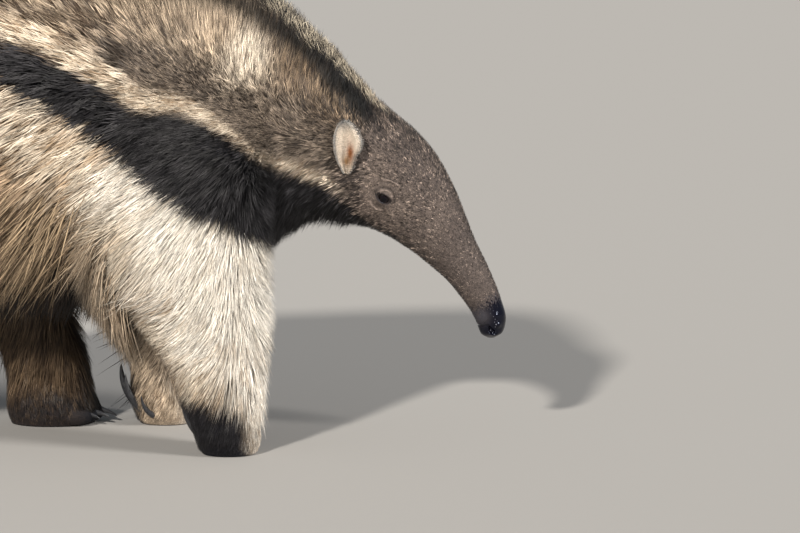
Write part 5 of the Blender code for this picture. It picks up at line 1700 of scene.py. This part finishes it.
wet_eye = eye_material()
for name, eye in eyes.items():
    eyeball = ball("eyeball_" + name, Vector(), (EYE_RADIUS, EYE_RADIUS, EYE_RADIUS), None, 32, 48)
    turn = eye["normal"].to_track_quat("Z", "Y").to_matrix().to_4x4()
    eyeball.matrix_world = Matrix.Translation(eye["middle"]) @ turn
    eyeball.data.shade_smooth()
    eyeball.data.materials.append(wet_eye)
    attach(eyeball, "root")
    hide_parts("eye_" + name)
print("eyes at", [tuple(round(c, 4) for c in eye["middle"]) for eye in eyes.values()])

# %% [markdown]
# ## The wet nose
# Small beads of wet stand on the bare skin beside each nostril and catch the light.

# %% Make the beads
# Their places along and up the snout and their radii, in millimetres
NOSE_BEADS = [
    (362.5, 166.2, 0.45), (366.4, 163.8, 0.4), (363.1, 160.7, 0.35), (366.5, 156.8, 0.5),
    (368.9, 153.2, 0.55), (368.1, 149.5, 0.6), (370.0, 146.6, 0.95), (369.0, 143.4, 0.6),
    (363.2, 138.0, 0.8), (371.3, 150.6, 0.4),
]
BEAD_FLATNESS = 0.6


def make_beads():
    material, _, shader = new_material("wet_beads", 0.10, 0.6)
    shader.inputs["Base Color"].default_value = (0.10, 0.10, 0.12, 1)
    beads = []
    for side in (-1, 1):
        for x, z, radius in NOSE_BEADS:
            start = Vector((x / 1000, side * 0.1, z / 1000)) + Vector(shift)
            place, normal, _, _ = skin_tree.ray_cast(start, Vector((0, -side, 0)))
            high = radius * BEAD_FLATNESS / 1000
            turn = normal.to_track_quat("Z", "Y").to_matrix().to_4x4()
            beads.append(ball("bead", place, (radius / 1000, radius / 1000, high), turn, 8, 12))
    bpy.ops.object.select_all(action="DESELECT")
    for bead in beads:
        bead.select_set(True)
    bpy.context.view_layer.objects.active = beads[0]
    bpy.ops.object.join()
    wet = bpy.context.view_layer.objects.active
    wet.name = "nose_beads"
    wet.data.shade_smooth()
    wet.data.materials.append(material)
    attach(wet, "root")
    print(len(beads), "beads")


make_beads()

# %% [markdown]
# ## Ears
# The ear is a small round leaf, folded into a cup that opens outward and forward. It is thin, nearly white
# with short hair, and orange brown deep inside. A grid of points is bent into the cup, and a second layer a
# little behind it closes the leaf all round.

# %% Make the ears
# The ear's outline: height from its middle, and where its rear and front rims are, in steps of the side
# view
EAR_OUTLINE = [
    (-27.7, -2.7, 0.6), (-24.5, -4.6, 3.2), (-20.6, -6.4, 5.0), (-13.1, -9.7, 7.3), (-7.1, -11.4, 9.8),
    (-2.7, -12.4, 13.2), (3.0, -13.1, 14.6), (8.0, -13.2, 14.8), (14.0, -12.6, 12.2), (19.9, -11.0, 8.6),
    (24.9, -8.6, 4.6), (28.2, -4.8, -0.4),
]
EAR_RAISE, EAR_CUP, EAR_THICK, EAR_LEAN = 0.0048, 0.0125, 0.0016, math.radians(14)
EAR_CREASE, EAR_FOLD = 0.58, 0.30
EAR_PALE, EAR_WHITE = np.array((0.53, 0.450, 0.370)), np.array((0.17, 0.165, 0.16))
EAR_DEEP, EAR_OCHRE = np.array((0.18, 0.060, 0.018)), np.array((0.16, 0.075, 0.018))
EAR_ROWS, EAR_COLUMNS = 34, 30


def ear_leaf(name):
    """The cup's inner layer, its normals and its colours, as a grid from foot to tip and rear to front."""
    low, high = (np.array(corner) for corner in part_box("ear_" + name))
    side = SIDES[name]
    outline = stations_at(EAR_OUTLINE, np.linspace(0, len(EAR_OUTLINE) - 1, EAR_ROWS))
    up, rear, front = (outline[:, k:k + 1] for k in range(3))
    w = np.linspace(-1.0, 1.0, EAR_COLUMNS)[None, :]
    t = np.linspace(0.0, 1.0, EAR_ROWS)[:, None]
    forward = (rear + front) / 2 + w * (front - rear) / 2
    wide = (front - rear) / (front - rear).max()
    rise = np.where(w < 0, np.abs(w) ** 2.0, 0.75 * np.minimum(w / EAR_CREASE, 1) ** 1.6)
    folded = np.clip((w - EAR_CREASE) / (1 - EAR_CREASE), 0, 1)
    out = EAR_CUP * (rise - EAR_FOLD * smooth(folded) * 1.2) * wide - 0.004 * t
    ripple = 0.0012 * np.sin(w * 9 + 1.0) * smooth((0.7 - t) / 0.4) * (1 - np.abs(w))
    out = out + ripple - 0.004 * np.exp(-((t / 0.2) ** 2))
    x = forward * STEP
    y = side * (out * math.cos(EAR_LEAN) + up * STEP * math.sin(EAR_LEAN))
    z = up * STEP * math.cos(EAR_LEAN) + EAR_RAISE
    grid = np.stack(np.broadcast_arrays(x, y, z), 2) + (low + high) / 2
    normal = unit(np.cross(np.gradient(grid, axis=0), np.gradient(grid, axis=1)))
    normal *= np.sign((normal[:, :, 1] * side).mean())
    deep = np.exp(-(((forward - 2.8) / 3.7) ** 2) - ((up + 5) / 10.0) ** 2)
    ochre = np.exp(-(((forward + 1.0) / 4.2) ** 2) - ((up + 14) / 6) ** 2)
    edge = np.maximum(smooth((np.abs(w) - 0.72) / 0.25), smooth((t - 0.72) / 0.26))[:, :, None]
    colour = EAR_PALE + (EAR_WHITE - EAR_PALE) * edge
    colour = colour + (EAR_DEEP - colour) * np.clip(deep * 1.1, 0, 1)[:, :, None]
    colour = colour + (EAR_OCHRE - colour) * np.clip(ochre, 0, 1)[:, :, None] * 0.95
    return grid, normal, colour


def outward_faces(obj):
    """Turns the faces of a closed piece so that all of them point out."""
    shape = bmesh.new()
    shape.from_mesh(obj.data)
    bmesh.ops.recalc_face_normals(shape, faces=shape.faces)
    shape.to_mesh(obj.data)
    shape.free()


def make_ear(name):
    grid, normal, inner = ear_leaf(name)
    rows, columns = grid.shape[:2]
    points = np.concatenate([grid.reshape(-1, 3), (grid - normal * EAR_THICK).reshape(-1, 3)])
    back = rows * columns
    faces = []
    for r in range(rows - 1):
        for c in range(columns - 1):
            a = r * columns + c
            quad = (a, a + 1, a + columns + 1, a + columns)
            faces.append(quad)
            faces.append(tuple(back + k for k in reversed(quad)))
    rim = [*range(columns)] + [r * columns + columns - 1 for r in range(1, rows)]
    rim += [(rows - 1) * columns + c for c in range(columns - 2, -1, -1)]
    rim += [r * columns for r in range(rows - 2, 0, -1)]
    for k, a in enumerate(rim):
        b = rim[(k + 1) % len(rim)]
        faces.append((b, a, back + a, back + b))
    ear = new_object("ear_leaf_" + name, points, faces)
    outward_faces(ear)
    inner = inner.reshape(-1, 3)
    outer = np.broadcast_to(EAR_PALE * 0.55, inner.shape)
    write_pelt(ear.data, np.concatenate([inner, outer]))
    ear.data.shade_smooth()
    ear.data.materials.append(ear_skin)
    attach(ear, "root")
    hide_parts("ear_" + name)
    return grid, normal, inner


def ear_material():
    material, tree, shader = new_material("ear_skin", 0.7, 0.3)
    place = add_node(tree, "ShaderNodeTexCoord").outputs["Object"]
    fine = noise(tree, place, 700.0, 3.0)
    speckle = ranged(tree, fine, 0.3, 0.7, 0.7, 1.25)
    tree.links.new(times(tree, attribute(tree, "pelt", "Color"), speckle), shader.inputs["Base Color"])
    tree.links.new(bump(tree, fine, 0.5, 0.0005), shader.inputs["Normal"])
    shader.inputs["Subsurface Weight"].default_value = 0.15
    shader.inputs["Subsurface Radius"].default_value = (0.006, 0.003, 0.002)
    return material


EAR_TUFTS, EAR_HAIR_LONG = 1900, 0.0036


def ear_coat(name, grid, normal, inner):
    """Short pale hair over both faces of the ear and past its rim."""
    rows, columns = grid.shape[:2]
    r, c = dice.random(EAR_TUFTS * 2) * (rows - 1.01), dice.random(EAR_TUFTS * 2) * (columns - 1.01)
    i, j = r.astype(int), c.astype(int)
    fr, fc = (r - i)[:, None], (c - j)[:, None]

    def sample(values):
        lower = values[i, j] * (1 - fc) + values[i, j + 1] * fc
        upper = values[i + 1, j] * (1 - fc) + values[i + 1, j + 1] * fc
        return lower * (1 - fr) + upper * fr

    behind = np.arange(len(r)) % 2 == 0
    near_rim = (np.abs(c / (columns - 1) - 0.5) > 0.30) | (r > rows * 0.8)
    kept = near_rim | (dice.random(len(r)) < 0.35) | behind
    r, c, i, j, fr, fc, behind = (values[kept] for values in (r, c, i, j, fr, fc, behind))
    face = unit(sample(normal)) * np.where(behind, -1, 1)[:, None]
    roots = sample(grid) + face * np.where(behind, EAR_THICK, 0)[:, None] * 0.9
    along = unit(sample(np.gradient(grid, axis=0)))
    rim = sample(np.gradient(grid, axis=1)) * np.sign(c / (columns - 1) - 0.5)[:, None]
    edge = smooth((np.abs(c / (columns - 1) - 0.5) * 2 - 0.55) / 0.4)[:, None]
    lie = unit(along + unit(rim) * edge * 1.3 + face * 0.22 + 0.18 * dice.normal(size=roots.shape))
    length = EAR_HAIR_LONG * (0.6 + 0.6 * dice.random(len(r)))
    length *= np.where(behind, 1, 0.8 + 0.5 * edge[:, 0])
    half_way = roots + lie * length[:, None] * 0.55
    path = np.stack([roots, half_way, roots + (lie - face * 0.15) * length[:, None]], 1)
    colour = sample(inner.reshape(rows, columns, 3)) * (0.75 + 0.5 * dice.random(len(r)))[:, None]
    colour = np.where(behind[:, None], EAR_PALE * 0.7 * (0.7 + 0.6 * dice.random(len(r)))[:, None], colour)
    width = np.full(len(r), 0.0005)
    unwrap = np.stack([r / rows, c / columns * 0.48 + 0.5 * behind], 1) * (1 - 2 * PATCH_SIZE)
    # Darker at the root for the undercoat, and with painted shade among the hair
    tones = (colour * 0.6, colour, colour * 1.1)
    obj = write_blades("coat_ear_" + name, path, face, width, tones, dice.random(len(r)), unwrap)
    obj.data.materials.append(face_hair)
    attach(obj, "root")


ear_skin = ear_material()
for name in SIDES:
    ear_coat(name, *make_ear(name))

# %% [markdown]
# ## Claws
# An anteater walks on its knuckles with the long foreclaws folded back under the hand, so that their tips
# point up behind the wrist. A claw is a curved horn that narrows to a point: rings are turned a little at
# each step along it.

# %% Make the claws
# Forepaw: number, behind the ankle, from the paw's middle towards the body, length, half width, lean to the
# body
FORECLAWS = [
    ("1", -0.006, 0.034, 0.036, 0.0042, 0.90),
    ("2", -0.012, 0.020, 0.064, 0.0066, 0.30),
    ("3", -0.014, 0.000, 0.074, 0.0086, 0.10),
    ("4", -0.012, -0.019, 0.046, 0.0048, -0.05),
]
FORECLAW_HEIGHT, FORECLAW_RISE, FORECLAW_CURL = 0.015, 0.55, 66
HINDCLAWS = [
    ("1", 0.0310, 0.024, 0.0036),
    ("2", 0.0165, 0.029, 0.0042),
    ("3", 0.0010, 0.031, 0.0044),
    ("4", -0.0145, 0.029, 0.0042),
    ("5", -0.0290, 0.024, 0.0036),
]
HINDCLAW_AHEAD, HINDCLAW_HEIGHT, HINDCLAW_RISE, HINDCLAW_CURL = 0.008, 0.0165, 0.05, 38
CLAW_SIDES, CLAW_STEPS, CLAW_TAPER, CLAW_FLATNESS = 20, 26, 0.6, 0.75


def horn_material():
    material, tree, shader = new_material("claw_horn", 0.32, 0.5)
    place = add_node(tree, "ShaderNodeTexCoord").outputs["Object"]
    stretch = add_node(tree, "ShaderNodeMapping")
    stretch.inputs["Scale"].default_value = (1.0, 3.0, 0.5)
    tree.links.new(place, stretch.inputs["Vector"])
    grain = noise(tree, stretch.outputs[0], 420.0, 4.0)
    ramp = add_node(tree, "ShaderNodeValToRGB")
    ramp.color_ramp.elements[0].color = (0.006, 0.007, 0.009, 1)
    ramp.color_ramp.elements[1].color = (0.030, 0.030, 0.034, 1)
    tree.links.new(grain, ramp.inputs["Fac"])
    tree.links.new(ramp.outputs["Color"], shader.inputs["Base Color"])
    tree.links.new(ranged(tree, grain, 0.3, 0.7, 0.22, 0.5), shader.inputs["Roughness"])
    tree.links.new(bump(tree, grain, 0.3, 0.0003), shader.inputs["Normal"])
    return material


def make_claw(node, root, heading, up, length, half_width, curl):
    across = heading.cross(up).normalized()
    rings, place = [], root.copy()
    turns = [2 * math.pi * k / CLAW_SIDES for k in range(CLAW_SIDES)]
    for step in range(CLAW_STEPS + 1):
        t = step / CLAW_STEPS
        turn = Matrix.Rotation(math.radians(curl * t), 3, across)
        along, outward = turn @ heading, turn @ up
        half = half_width * max(1 - t, 0.004) ** CLAW_TAPER
        wide = half * CLAW_FLATNESS
        ring = [place + outward * half * math.sin(a) + across * wide * math.cos(a) for a in turns]
        rings.append(ring)
        place = place + along * length / CLAW_STEPS
    points = [p for ring in rings for p in ring]
    faces = tube_faces(len(rings), CLAW_SIDES)
    faces += [tuple(range(CLAW_SIDES)), tuple(range(len(points) - 1, len(points) - CLAW_SIDES - 1, -1))]
    claw = new_object("horn_" + node, [tuple(p) for p in points], faces)
    outward_faces(claw)
    claw.data.shade_smooth()
    claw.data.materials.append(horn)
    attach(claw, "root")
    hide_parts(node)


horn = horn_material()
for name in LEGS:
    side, side_name = side_of(name), name.rsplit("_", 1)[1]
    _, x, away, _, _, _ = LEGS[name][-1]
    if name.startswith("fore"):
        for number, behind, inward, length, half_width, lean in FORECLAWS:
            root = Vector((x + behind, side * (away - inward), FORECLAW_HEIGHT)) + Vector(shift)
            heading = Vector((-1, -side * lean, FORECLAW_RISE)).normalized()
            up = (Vector((0, 0, 1)) - heading * heading.z).normalized()
            node = f"claw_fore_{side_name}_{number}"
            make_claw(node, root, heading, up, length, half_width, FORECLAW_CURL)
    else:
        for number, inward, length, half_width in HINDCLAWS:
            root = toe_place(name, inward)
            root.x += HINDCLAW_AHEAD
            root.z = HINDCLAW_HEIGHT
            heading = Vector((1, 0, HINDCLAW_RISE)).normalized()
            down = (Vector((0, 0, -1)) + heading * heading.z).normalized()
            node = f"claw_hind_{side_name}_{number}"
            make_claw(node, root, heading, down, length, half_width, HINDCLAW_CURL)
